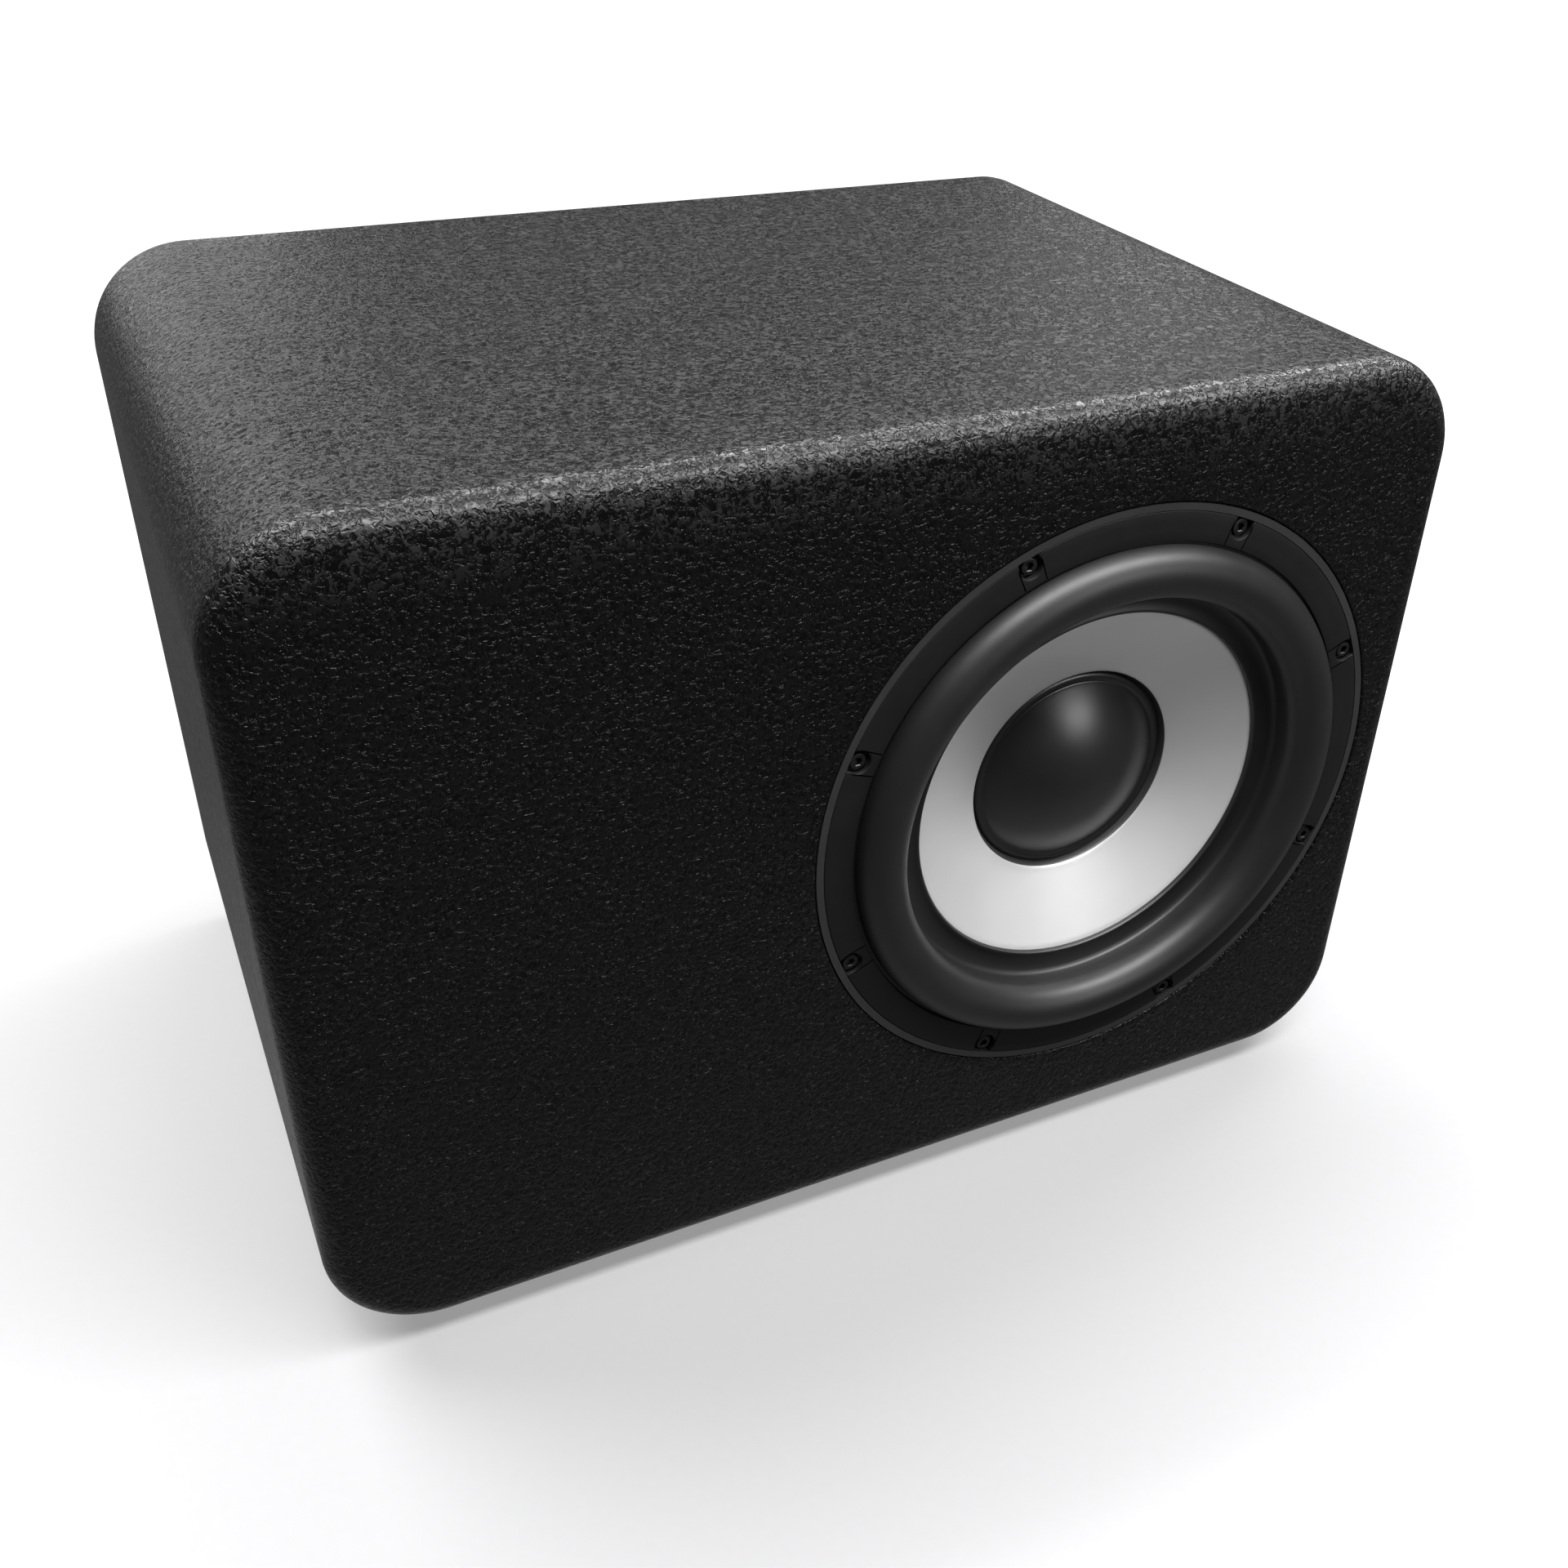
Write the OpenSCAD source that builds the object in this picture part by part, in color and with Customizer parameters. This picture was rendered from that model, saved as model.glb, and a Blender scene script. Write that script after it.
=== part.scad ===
// Powered subwoofer: a sealed, sprayed board cabinet with one 10-inch long-throw
// driver in the front and a plate amplifier in the rear.
// Frame: X to the right seen from the front, Y from front to back, Z up.
// The origin is on the floor, at the middle of the whole object.

/* [Cabinet] */
// Width over the sprayed coating
cab_w = 478; // [430:1:580]
// Height over the sprayed coating, without the feet
cab_h = 342; // [310:1:420]
// Depth over the sprayed coating
cab_d = 326; // [270:1:400]
// Radius of the four long corners that run from front to back
corner_r = 43.5; // [20:0.5:52]
// Roundover radius of the front and rear edges
edge_r = 11; // [5:0.5:16]
// Thickness of the sprayed coating
coat_t = 2; // [1:0.5:3]
// Thickness of the top, bottom, side and rear boards
board_t = 18; // [15:1:22]
// Thickness of the front board
baffle_t = 25; // [22:1:32]
// Leg of the glue blocks in the long corners
block_leg = 24; // [15:1:30]
// Front face of the window brace, from the front of the cabinet
brace_front = 160; // [145:1:190]
// Thickness of the window brace
brace_t = 18; // [12:1:20]
// Width of the frame of the window brace
brace_rim = 42; // [34:1:60]
// Thickness of the damping pads
pad_t = 22; // [10:1:30]

/* [Feet] */
// Height of the rubber feet
foot_h = 10; // [6:1:20]
// Diameter of the rubber feet at the floor
foot_d = 34; // [24:1:44]
// Distance of a foot's centre from the side and from the front of the cabinet
foot_inset = 52; // [46:1:80]

/* [Driver] */
// Driver axis to the right of the cabinet's middle
driver_x = 90; // [60:1:92]
// Outer radius of the driver's flange
flange_r = 130; // [129:0.5:134]
// Radius of the screw circle
screw_circle_r = 123; // [121:0.5:124]
// Thickness of the flange at its rim
flange_t = 7.5; // [6:0.5:9]
// Inner radius of the flange
flange_in_r = 112; // [111:0.5:113]
// Outer radius of the surround's half roll
roll_out_r = 113.2; // [112.5:0.1:114]
// Inner radius of the surround's half roll
roll_in_r = 91.8; // [90:0.1:94]
// Depth of the half roll's centre line behind the front of the cabinet
roll_depth = 2; // [1:0.5:3]
// Thickness of the rubber surround
rubber_t = 1.5; // [1:0.1:2]
// Radius at which the bare cone starts, inside the surround's inner lip
cone_r = 80.5; // [76:0.5:84]
// Depth of the surround's inner lip behind the front of the cabinet
lip_depth = 10.2; // [8:0.1:14]
// Slope of the cone from the baffle's plane
cone_angle = 24; // [18:1:25]
// Thickness of the cone
cone_t = 1; // [0.6:0.1:1.5]
// Outer radius of the dust cap
cap_r = 46; // [38:0.5:52]
// Height of the dust cap's dome above its rim
cap_rise = 13; // [8:0.5:16]
// Travel of the cone each way from rest
travel = 10; // [6:0.5:10]

/* [Motor] */
// Radius of the pole piece
pole_r = 24.4; // [22:0.1:25]
// Depth of the top plate's front face behind the front of the cabinet
plate_front = 68; // [66:1:72]
// Thickness of the top plate
plate_t = 8; // [6:0.5:10]
// Height of the ring magnet
magnet_h = 40; // [30:1:40]
// Outer radius of the ring magnet
magnet_r = 72; // [68:1:75]
// Thickness of the back plate
back_plate_t = 10; // [8:1:12]

/* [Amplifier] */
// Width of the amplifier's plate
amp_w = 250; // [250:1:300]
// Height of the amplifier's plate
amp_h = 210; // [210:1:250]
// Thickness of the amplifier's plate
amp_t = 3; // [2:0.5:4]
// Depth of the heatsink's fins over the plate, with its base
sink_h = 16; // [14:1:22]
// Diameter of the two control knobs
knob_d = 22; // [18:1:26]
// Length of the control knobs over the plate
knob_l = 14.5; // [13:0.5:18]
// Radius of the control shafts
shaft_r = 3; // [2.5:0.5:3]

/* [Hidden] */
$fn = 64;
eps = 0.01;          // overlap that keeps a cut or a union clean
gap = 0.05;          // slip clearance round pins and screws
free = 0.3;          // clearance between pieces that move past each other

// Places of the main pieces
crest = (roll_out_r - roll_in_r) / 2 - roll_depth;  // surround proud of the front
total_d = crest + cab_d + sink_h;                   // depth of the whole object
front_y = crest - total_d / 2;                      // front of the cabinet
rear_y = front_y + cab_d;                           // rear of the cabinet
mid_z = foot_h + cab_h / 2;                         // driver and amplifier height
in_w = cab_w - 2 * (coat_t + board_t);              // clear width inside
in_h = cab_h - 2 * (coat_t + board_t);              // clear height inside
baffle_back = coat_t + baffle_t;                    // depth of the baffle's back
rear_front = cab_d - coat_t - board_t;              // depth of the rear panel's front
foot_screw_l = 22;                                  // top of a foot's screw over the floor
corner_steps = 9;                                   // steps in a rounded corner
edge_steps = 5;                                     // steps in a roundover

// Driver sizes that follow from the others
rim_depth = 0.5;                                    // flange rim behind the front
seat_depth = rim_depth + 3;                         // face under the trim gasket
flange_back = rim_depth + flange_t;
seal_t = 1.5;                                       // foam ring behind the flange
recess_r = flange_r + 0.5;
cutout_r = flange_in_r + 6;
rim_w = 3;                                          // width of the bare flange rim
gasket_in_r = roll_out_r + 1.2;
roll_mid_r = (roll_out_r + roll_in_r) / 2;
roll_rad = (roll_out_r - roll_in_r) / 2;
lip_out_r = flange_in_r + 7;                        // outer lip of the surround
screw_count = 8;
screw_r = 2;                                        // M4
insert_r = 3.2;
insert_l = 12;
head_r = 3.5;
head_h = 3;
notch_r = 4.8;                                      // half width of a gasket notch
cone_front_d = lip_depth + rubber_t;                // cone under the inner lip
function cone_at(r) = cone_front_d + (cone_r - r) * tan(cone_angle);
former_in_r = pole_r + 0.6;
former_t = 0.4;
former_out_r = former_in_r + former_t;
winding_t = 1;
winding_l = plate_t + 2 * travel;                   // stays in the gap over the travel
gap_r = former_out_r + winding_t + 0.6;             // hole in the top plate
coil_mid = plate_front + plate_t / 2;
coil_end = coil_mid + winding_l / 2;
magnet_front = plate_front + plate_t;
yoke_front = magnet_front + magnet_h;
yoke_back = yoke_front + back_plate_t;
spider_d = 50.5;                                    // depth of the spider's middle
spider_t = 0.8;
landing_d = spider_d + spider_t / 2;
landing_in_r = 69;
bowl_out_r = 84;
ring_front = plate_front - 3;                       // basket ring on the top plate
boot_t = 3;
window_count = 8;
block_x = -bowl_out_r - 9;                          // outer side of the terminal block
block_l = 9;
tab_l = 8;

// Amplifier layout, measured on the plate from its middle: x right, z up
seal_rear_t = 2;
amp_lip = 12;                                       // plate that overlaps the rear panel
amp_screw_l = 14;
amp_corner = 6;
cut_w = amp_w - 2 * amp_lip;
cut_h = amp_h - 2 * amp_lip;
volume_at = [40, 62];
crossover_at = [92, 62];
phase_at = [40, 26];
mode_at = [92, 26];
led_at = [66, 84];
jack_at = [for (i = [0:3]) [36 + 20 * i, -10]];
rocker_at = [34, -62];
inlet_at = [84, -60];
toroid_at = [-58, -30];
sink_at = [-60, 6];
sink_w = 104;
sink_l = 178;
sink_base = 4;
fin_count = 11;
fin_t = 2;
board_at = [62, 38];
board_size = [94, 96];
board_front = 32;                                   // board behind the rear face
board_thick = 1.6;
standoff_r = 3;
toroid_r = 44;
toroid_h = 36;
toroid_hole = 14;
bolt_r = 3;
capacitor_r = 14;
capacitor_h = 34;
bush_r = 3.5;
bush_l = 6.5;
pot_depth = 12;
nut_h = 2.5;
jack_r = 4.15;
led_r = 2.5;
lever_w = 4;
lever_h = 3.4;
phase_travel = 4;
mode_travel = 3.5;
rocker_body = [16, 24];
rocker_depth = 20;
rocker_tab_x = 4;
rocker_r = 10.4;                                    // end radius about its pivot
rocker_w = 12.4;
rocker_tilt = 10;
bezel_h = 2;
inlet_body = [27.6, 31];
inlet_flange = [48, 34];
inlet_depth = 26;
inlet_tab = 7;
inlet_screw_x = 20;
inlet_screw_r = 1.5;                                // M3
socket_w = 24.2;
socket_h = 16.6;
socket_depth = 20;
socket_up = 5;                                      // socket above the inlet's middle
drawer_down = -9.8;
drawer_w = 21.4;
drawer_h = 7.6;
drawer_l = 22;
inlet_face = 2.5;
fuse_r = 2.6;

// Middle points of the wires' routes. The tinsel route is radius and depth on the
// driver. The speaker route is x, share of the depth from the terminal block to the
// board, and height over the driver's axis. The others are x, depth behind the rear
// face and height on the amplifier's plate.
tinsel_route = [[50, 35], [60, 38], [70, 37], [80, 37], [88, 42]];
speaker_route = [[-12, 0.14, -8], [-18, 0.28, -14], [-24, 0.45, -12], [-28, 0.61, 2],
    [-28, 0.74, 20], [-14, 0.86, 38], [12, 0.91, 48]];
inlet_route = [[70, 42], [56, 44], [42, 36]];
primary_route = [[22, 38], [8, 38], [-2, 32]];
secondary_route = [[-14, 54, -4], [2, 56, 8], [16, 48, 16]];

// ---- shapes used by several pieces ----

// Outline of a rounded rectangle, worked out corner by corner
function corner_arc(cx, cy, r, a0, n) =
    [for (i = [0:n]) [cx + r * cos(a0 + 90 * i / n), cy + r * sin(a0 + 90 * i / n)]];
function round_rect(w, h, r, n = corner_steps) = concat(
    corner_arc(w / 2 - r, h / 2 - r, r, 0, n), corner_arc(r - w / 2, h / 2 - r, r, 90, n),
    corner_arc(r - w / 2, r - h / 2, r, 180, n), corner_arc(w / 2 - r, r - h / 2, r, 270, n));

// Points of a smooth curve through a list of points
function spline(p, a, b, c, d, t) = 0.5 * (2 * p[b] + t * (p[c] - p[a])
    + t * t * (2 * p[a] - 5 * p[b] + 4 * p[c] - p[d])
    + t * t * t * (3 * p[b] - p[a] - 3 * p[c] + p[d]));
function smooth(p, n) = concat([for (i = [0:len(p) - 2], k = [0:n - 1])
    spline(p, max(i - 1, 0), i, i + 1, min(i + 2, len(p) - 1), k / n)], [p[len(p) - 1]]);
function unit(v) = v / norm(v);

// Round wire swept along a smooth curve, with its rings carried on without twist
module wire(route, r, n = 3, sides = 8) {
    p = smooth(route, n);
    last = len(p) - 1;
    t = [for (i = [0:last]) unit(p[min(i + 1, last)] - p[max(i - 1, 0)])];
    first = unit(cross(t[0], abs(t[0][2]) < 0.9 ? [0, 0, 1] : [1, 0, 0]));
    across = [for (i = 0, u = first; i <= last; i = i + 1,
        u = unit(u - (u * t[min(i, last)]) * t[min(i, last)])) u];
    rings = [for (i = [0:last]) let(u = across[i], v = cross(t[i], u))
        for (k = [0:sides - 1]) p[i] + r * (u * cos(360 * k / sides) + v * sin(360 * k / sides))];
    walls = [for (i = [0:last - 1], k = [0:sides - 1]) let(m = (k + 1) % sides)
        [i * sides + k, i * sides + m, (i + 1) * sides + m, (i + 1) * sides + k]];
    start = [[for (k = [0:sides - 1]) sides - 1 - k]];
    end = [[for (k = [0:sides - 1]) last * sides + k]];
    polyhedron(rings, concat(walls, start, end));
}

// Places children with their Z along the depth of the cabinet, from its front
module from_front(x = 0, z = mid_z) {
    translate([x, front_y, z]) rotate([-90, 0, 0]) children();
}

// Places children on the driver's axis, with Z as the depth behind the front
module on_driver() {
    from_front(driver_x) children();
}

// Places children on the rear face at a place on the plate, with Z pointing out
module on_rear(at = [0, 0]) {
    translate([at[0], rear_y, mid_z + at[1]]) rotate([-90, 0, 0]) children();
}

// The cabinet's rounded outer form, moved inwards by a distance: an outline at
// each step of the front roundover, then the same steps back to the rear face
module cabinet_form(inset) {
    e = edge_r - inset;
    steps = concat([for (k = [0:edge_steps]) [k, 0]], [for (k = [edge_steps:-1:0]) [k, 1]]);
    rings = [for (s = steps) let(a = 90 * s[0] / edge_steps, in = inset + e * (1 - sin(a)),
        d = inset + e * (1 - cos(a)))
        [for (p = round_rect(cab_w - 2 * in, cab_h - 2 * in, corner_r - in))
            [p[0], p[1], s[1] == 1 ? cab_d - d : d]]];
    sides = len(rings[0]);
    last = len(rings) - 1;
    walls = [for (i = [0:last - 1], k = [0:sides - 1]) let(m = (k + 1) % sides)
        [i * sides + k, (i + 1) * sides + k, (i + 1) * sides + m, i * sides + m]];
    from_front() polyhedron([for (ring = rings) each ring], concat(walls,
        [[for (k = [0:sides - 1]) k]], [[for (k = [0:sides - 1]) last * sides + sides - 1 - k]]));
}

// A stretch of the cabinet's depth, as wide and high as the whole cabinet
module depth_slice(from, to) {
    from_front() translate([-cab_w, -cab_h, from]) cube([2 * cab_w, 2 * cab_h, to - from]);
}

// Part of the cabinet's tube of side boards inside a rectangle of the outline
module tube_board(x0, x1, z0, z1) {
    from_front() translate([0, 0, baffle_back]) linear_extrude(rear_front - baffle_back)
        intersection() {
            polygon(round_rect(cab_w - 2 * coat_t, cab_h - 2 * coat_t, corner_r - coat_t));
            translate([x0, -z1]) square([x1 - x0, z1 - z0]);
        }
}

module round_screws(r, circle_r = screw_circle_r) {
    for (i = [0:screw_count - 1]) rotate([0, 0, (i + 0.5) * 360 / screw_count])
        translate([circle_r, 0, 0]) children();
}

// ---- cabinet ----

module coating() {
    color("#2b2b2b") difference() {
        cabinet_form(0);
        cabinet_form(coat_t);
        on_driver() translate([0, 0, -1]) cylinder(r = recess_r, h = coat_t + 2);
        on_rear() translate([0, 0, -coat_t - 1]) linear_extrude(coat_t + 2)
            polygon(round_rect(amp_w + 1, amp_h + 1, amp_corner + 0.5));
        foot_places() translate([0, 0, -1]) cylinder(r = screw_r + gap, h = coat_t + 2);
    }
}

module baffle() {
    color("#a58a63") difference() {
        intersection() {
            cabinet_form(coat_t);
            depth_slice(0, baffle_back);
        }
        on_driver() {
            translate([0, 0, -1]) cylinder(r = recess_r, h = flange_back + seal_t + 1);
            cylinder(r = cutout_r, h = baffle_back + 1);
            round_screws() cylinder(r = insert_r, h = flange_back + seal_t + insert_l + 1);
        }
    }
}

module rear_panel() {
    color("#a58a63") difference() {
        intersection() {
            cabinet_form(coat_t);
            depth_slice(rear_front, cab_d);
        }
        on_rear() {
            translate([0, 0, -amp_t - seal_rear_t]) linear_extrude(amp_t + seal_rear_t + 1)
                polygon(round_rect(amp_w + 1, amp_h + 1, amp_corner + 0.5));
            translate([0, 0, -board_t - coat_t - 1]) linear_extrude(board_t + coat_t + 2)
                polygon(round_rect(cut_w, cut_h, amp_corner));
        }
        amp_screw_places() translate([0, 0, -amp_screw_l - amp_t])
            cylinder(r = screw_r + gap, h = amp_screw_l + amp_t);
    }
}

module top_panel() {
    color("#a58a63") tube_board(-cab_w / 2, cab_w / 2, in_h / 2, cab_h / 2);
}

module bottom_panel() {
    color("#a58a63") difference() {
        tube_board(-cab_w / 2, cab_w / 2, -cab_h / 2, -in_h / 2);
        foot_places() cylinder(r = screw_r + gap, h = foot_screw_l - foot_h + 1);
    }
}

module left_panel() {
    color("#a58a63") tube_board(-cab_w / 2, -in_w / 2, -in_h / 2, in_h / 2);
}

module right_panel() {
    color("#a58a63") tube_board(in_w / 2, cab_w / 2, -in_h / 2, in_h / 2);
}

module corner_blocks() {
    color("#c9a873") from_front() translate([0, 0, baffle_back])
        linear_extrude(rear_front - baffle_back)
            for (sx = [0, 1], sz = [0, 1]) mirror([sx, 0]) mirror([0, sz])
                translate([in_w / 2, in_h / 2])
                    polygon([[0, 0], [-block_leg, 0], [0, -block_leg]]);
}

module window_brace() {
    bar = brace_rim / 2;
    b = block_leg;
    w = in_w / 2;
    h = in_h / 2;
    opening_w = (in_w - 2 * brace_rim - bar) / 2;
    color("#b99a6b") from_front() translate([0, 0, brace_front]) linear_extrude(brace_t)
        difference() {
            polygon([[w, h - b], [w - b, h], [b - w, h], [-w, h - b],
                [-w, b - h], [b - w, -h], [w - b, -h], [w, b - h]]);
            for (s = [-1, 1]) translate([s * (opening_w + bar) / 2, 0])
                polygon(round_rect(opening_w, in_h - 2 * brace_rim, 15));
        }
}

module damping_pads() {
    pad_l = brace_front - baffle_back - 6;
    left = block_leg + 4;
    color("#d8d4c8") from_front() translate([0, 0, baffle_back + 3]) {
        translate([-in_w / 2, -in_h / 2 + left, 0]) cube([pad_t, in_h - 2 * left, pad_l]);
        for (s = [0, 1]) mirror([0, s, 0])
            translate([-in_w / 2 + left, in_h / 2 - pad_t, 0])
                cube([in_w / 2 + driver_x - cutout_r - left - 4, pad_t, pad_l]);
    }
}

// ---- feet ----

// Places children on the underside of the cabinet over each foot
module foot_places() {
    for (sx = [-1, 1], y = [front_y + foot_inset, rear_y - foot_inset])
        translate([sx * (cab_w / 2 - foot_inset), y, foot_h]) children();
}

module feet() {
    color("#1a1a1a") foot_places() translate([0, 0, -foot_h]) difference() {
        cylinder(d1 = foot_d, d2 = foot_d + 4, h = foot_h);
        translate([0, 0, -1]) cylinder(r = head_r + 1.5, h = foot_h / 2 + 1);
        translate([0, 0, -1]) cylinder(r = screw_r + gap, h = foot_h + 2);
    }
}

module foot_screws() {
    color("#8f9296") foot_places() translate([0, 0, -foot_h / 2]) {
        translate([0, 0, -head_h]) cylinder(r = head_r + 0.5, h = head_h);
        cylinder(r = screw_r, h = foot_screw_l - foot_h / 2);
    }
}

// ---- driver ----

module basket() {
    slot_w = 50;
    slope_top = flange_back;
    slope_end = landing_d;
    color("#3a3c3f") on_driver() difference() {
        rotate_extrude() {
            // Flange with a bare rim and a seat for the trim gasket
            polygon([[flange_in_r, seat_depth], [flange_r - rim_w, seat_depth],
                [flange_r - rim_w, rim_depth], [flange_r, rim_depth],
                [flange_r, flange_back], [flange_in_r, flange_back]]);
            // Bowl from the flange to the spider's landing
            polygon([[flange_in_r, slope_top - eps], [flange_in_r + 4, slope_top - eps],
                [bowl_out_r, slope_end], [bowl_out_r, slope_end + 3],
                [landing_in_r, slope_end + 3], [landing_in_r, slope_end],
                [bowl_out_r - 4, slope_end]]);
            // Neck and the ring that is fixed to the top plate
            polygon([[landing_in_r + 2, slope_end + 3 - eps], [landing_in_r + 6, slope_end + 3 - eps],
                [landing_in_r + 6, plate_front], [gap_r + 7, plate_front],
                [gap_r + 7, ring_front], [landing_in_r + 2, ring_front]]);
        }
        for (i = [0:window_count - 1]) rotate([0, 0, i * 360 / window_count])
            translate([landing_in_r + 8, -slot_w / 2, flange_back + 6])
                cube([60, slot_w, landing_d - flange_back - 10]);
        round_screws() translate([0, 0, -1]) cylinder(r = screw_r + 0.3, h = flange_back + 2);
        round_screws() translate([0, 0, seat_depth - 1]) cylinder(r = head_r + 0.4, h = 2);
    }
}

module flange_seal() {
    color("#202020") on_driver() translate([0, 0, flange_back]) difference() {
        cylinder(r = flange_r, h = seal_t);
        translate([0, 0, -1]) cylinder(r = cutout_r, h = seal_t + 2);
        round_screws() translate([0, 0, -1]) cylinder(r = screw_r + 0.3, h = seal_t + 2);
    }
}

// Soft ring that covers the flange, with a notch open to the outside at each screw
module trim_gasket() {
    color("#222222") on_driver() difference() {
        rotate_extrude() polygon([[gasket_in_r, rim_depth], [flange_r - rim_w - 0.2, rim_depth],
            [flange_r - rim_w - 0.2, seat_depth], [lip_out_r, seat_depth],
            [lip_out_r, seat_depth - rubber_t], [gasket_in_r, seat_depth - rubber_t]]);
        round_screws() {
            translate([0, 0, -1]) cylinder(r = notch_r, h = seat_depth + 2);
            translate([0, -notch_r + 0.4, -1]) cube([20, 2 * notch_r - 0.8, seat_depth + 2]);
        }
    }
}

module driver_screws() {
    head_top = seat_depth + 1 - head_h;
    color("#1c1c1e") on_driver() round_screws() difference() {
        union() {
            translate([0, 0, head_top]) cylinder(r = head_r, h = head_h);
            translate([0, 0, seat_depth]) cylinder(r = screw_r, h = flange_back + seal_t + 9 - seat_depth);
        }
        translate([0, 0, head_top - 1]) cylinder(r = 1.75, h = 3, $fn = 6);
    }
}

module threaded_inserts() {
    color("#c8a44a") on_driver() translate([0, 0, flange_back + seal_t]) round_screws() difference() {
        cylinder(r = insert_r - gap, h = insert_l);
        translate([0, 0, -1]) cylinder(r = screw_r + gap, h = insert_l + 2);
    }
}

// Half roll between a lip on the flange and a lip on the cone
module surround() {
    n = 24;
    lip = seat_depth - rubber_t;
    outer = [for (i = [0:n]) let(a = 180 * i / n)
        [roll_mid_r + roll_rad * cos(a), roll_depth - roll_rad * sin(a)]];
    inner = [for (i = [n:-1:0]) let(a = 180 * i / n)
        [roll_mid_r + (roll_rad - rubber_t) * cos(a), roll_depth - (roll_rad - rubber_t) * sin(a)]];
    color("#1b1b1c") on_driver() rotate_extrude() polygon(concat(
        [[lip_out_r, seat_depth], [lip_out_r, lip], [roll_out_r, lip]], outer,
        [[roll_in_r, lip_depth], [cone_r, lip_depth], [cone_r, lip_depth + rubber_t],
        [roll_in_r + rubber_t, lip_depth + rubber_t]], inner, [[roll_out_r - rubber_t, seat_depth]]));
}

module cone() {
    back = cone_t / cos(cone_angle);
    color("#c9cbcc") on_driver() rotate_extrude() polygon([
        [former_out_r, cone_at(former_out_r)], [cone_r - 1, cone_at(cone_r - 1)],
        [cone_r, cone_front_d], [roll_in_r, cone_front_d], [roll_in_r, cone_front_d + cone_t],
        [cone_r - 1, cone_at(cone_r - 1) + back], [former_out_r, cone_at(former_out_r) + back]]);
}

// Domed cap with a rolled rim and a short skirt down to the cone
module dust_cap() {
    n = 14;
    rim_d = cone_at(cap_r) - 4;
    dome_r = cap_r - 3.5;
    t = 1.2;
    top = [for (i = [0:n]) let(r = dome_r * i / n) [r, rim_d - cap_rise * (1 - pow(r / dome_r, 2))]];
    under = [for (i = [n:-1:0]) let(r = (dome_r - 0.6) * i / n)
        [r, rim_d + t - cap_rise * (1 - pow(r / dome_r, 2))]];
    color("#161617") on_driver() rotate_extrude() polygon(concat(top,
        [[dome_r + 0.8, rim_d + 0.4], [dome_r + 2.4, rim_d - 0.3], [cap_r - 0.3, rim_d + 0.6],
        [cap_r, cone_at(cap_r)], [cap_r - 1.4, cone_at(cap_r - 1.4)],
        [cap_r - 1.6, rim_d + 1.8]], under));
}

module coil_former() {
    start = cone_at(former_out_r) - 2;
    color("#b58a4a") on_driver() translate([0, 0, start]) difference() {
        cylinder(r = former_out_r, h = coil_end + 2 - start);
        translate([0, 0, -1]) cylinder(r = former_in_r, h = coil_end + 4 - start);
    }
}

module voice_coil() {
    color("#b87333") on_driver() translate([0, 0, coil_mid - winding_l / 2]) difference() {
        cylinder(r = former_out_r + winding_t, h = winding_l);
        translate([0, 0, -1]) cylinder(r = former_out_r, h = winding_l + 2);
    }
}

// Corrugated disc that centres the coil, glued to the basket's landing
module spider() {
    waves = 5;
    n = 50;
    r0 = former_out_r;
    r1 = landing_in_r - 1;
    line = [for (i = [0:n]) let(u = i / n)
        [r0 + (r1 - r0) * u, spider_d + 2 * sin(360 * waves * u) * min(1, 8 * u, 8 * (1 - u))]];
    color("#c58b3f") on_driver() rotate_extrude() polygon(concat(
        [for (p = line) [p[0], p[1] - spider_t / 2]],
        [[bowl_out_r - 6, spider_d - spider_t / 2], [bowl_out_r - 6, spider_d + spider_t / 2]],
        [for (i = [n:-1:0]) [line[i][0], line[i][1] + spider_t / 2]]));
}

module top_plate() {
    color("#77797c") on_driver() translate([0, 0, plate_front]) difference() {
        cylinder(r = magnet_r - 4, h = plate_t);
        translate([0, 0, -1]) cylinder(r = gap_r, h = plate_t + 2);
    }
}

module magnet() {
    color("#3b3b3d") on_driver() translate([0, 0, magnet_front]) difference() {
        cylinder(r = magnet_r, h = magnet_h);
        translate([0, 0, -1]) cylinder(r = gap_r + 9, h = magnet_h + 2);
    }
}

module pole_yoke() {
    color("#77797c") on_driver() difference() {
        union() {
            translate([0, 0, plate_front - 4]) cylinder(r = pole_r, h = yoke_back - plate_front + 4 - eps);
            translate([0, 0, yoke_front]) cylinder(r = magnet_r - 4, h = back_plate_t);
        }
        translate([0, 0, plate_front - 5]) cylinder(r = 10, h = yoke_back - plate_front + 10);
    }
}

module shorting_ring() {
    ring_l = 14;
    color("#c9cbcd") on_driver() translate([0, 0, yoke_front - ring_l]) difference() {
        cylinder(r = gap_r + 9, h = ring_l);
        translate([0, 0, -1]) cylinder(r = gap_r + 1, h = ring_l + 2);
    }
}

module magnet_boot() {
    color("#1e1e1f") on_driver() rotate_extrude() polygon([
        [magnet_r, magnet_front + 1], [magnet_r + boot_t, magnet_front + 1],
        [magnet_r + boot_t, yoke_back + 2], [magnet_r - 14, yoke_back + 2],
        [magnet_r - 14, yoke_back], [magnet_r - 4, yoke_back],
        [magnet_r - 4, yoke_front], [magnet_r, yoke_front]]);
}

module terminal_block() {
    color("#2e2a26") on_driver() translate([block_x, 0, landing_d]) {
        difference() {
            translate([0, -15, 0]) cube([12, 30, block_l]);
            translate([-block_x, 0, -1]) cylinder(r = bowl_out_r, h = block_l + 2);
        }
        for (s = [-1, 1]) translate([3.6, 8 * s - 2.4, block_l]) cube([0.8, 4.8, tab_l]);
    }
}

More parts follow.
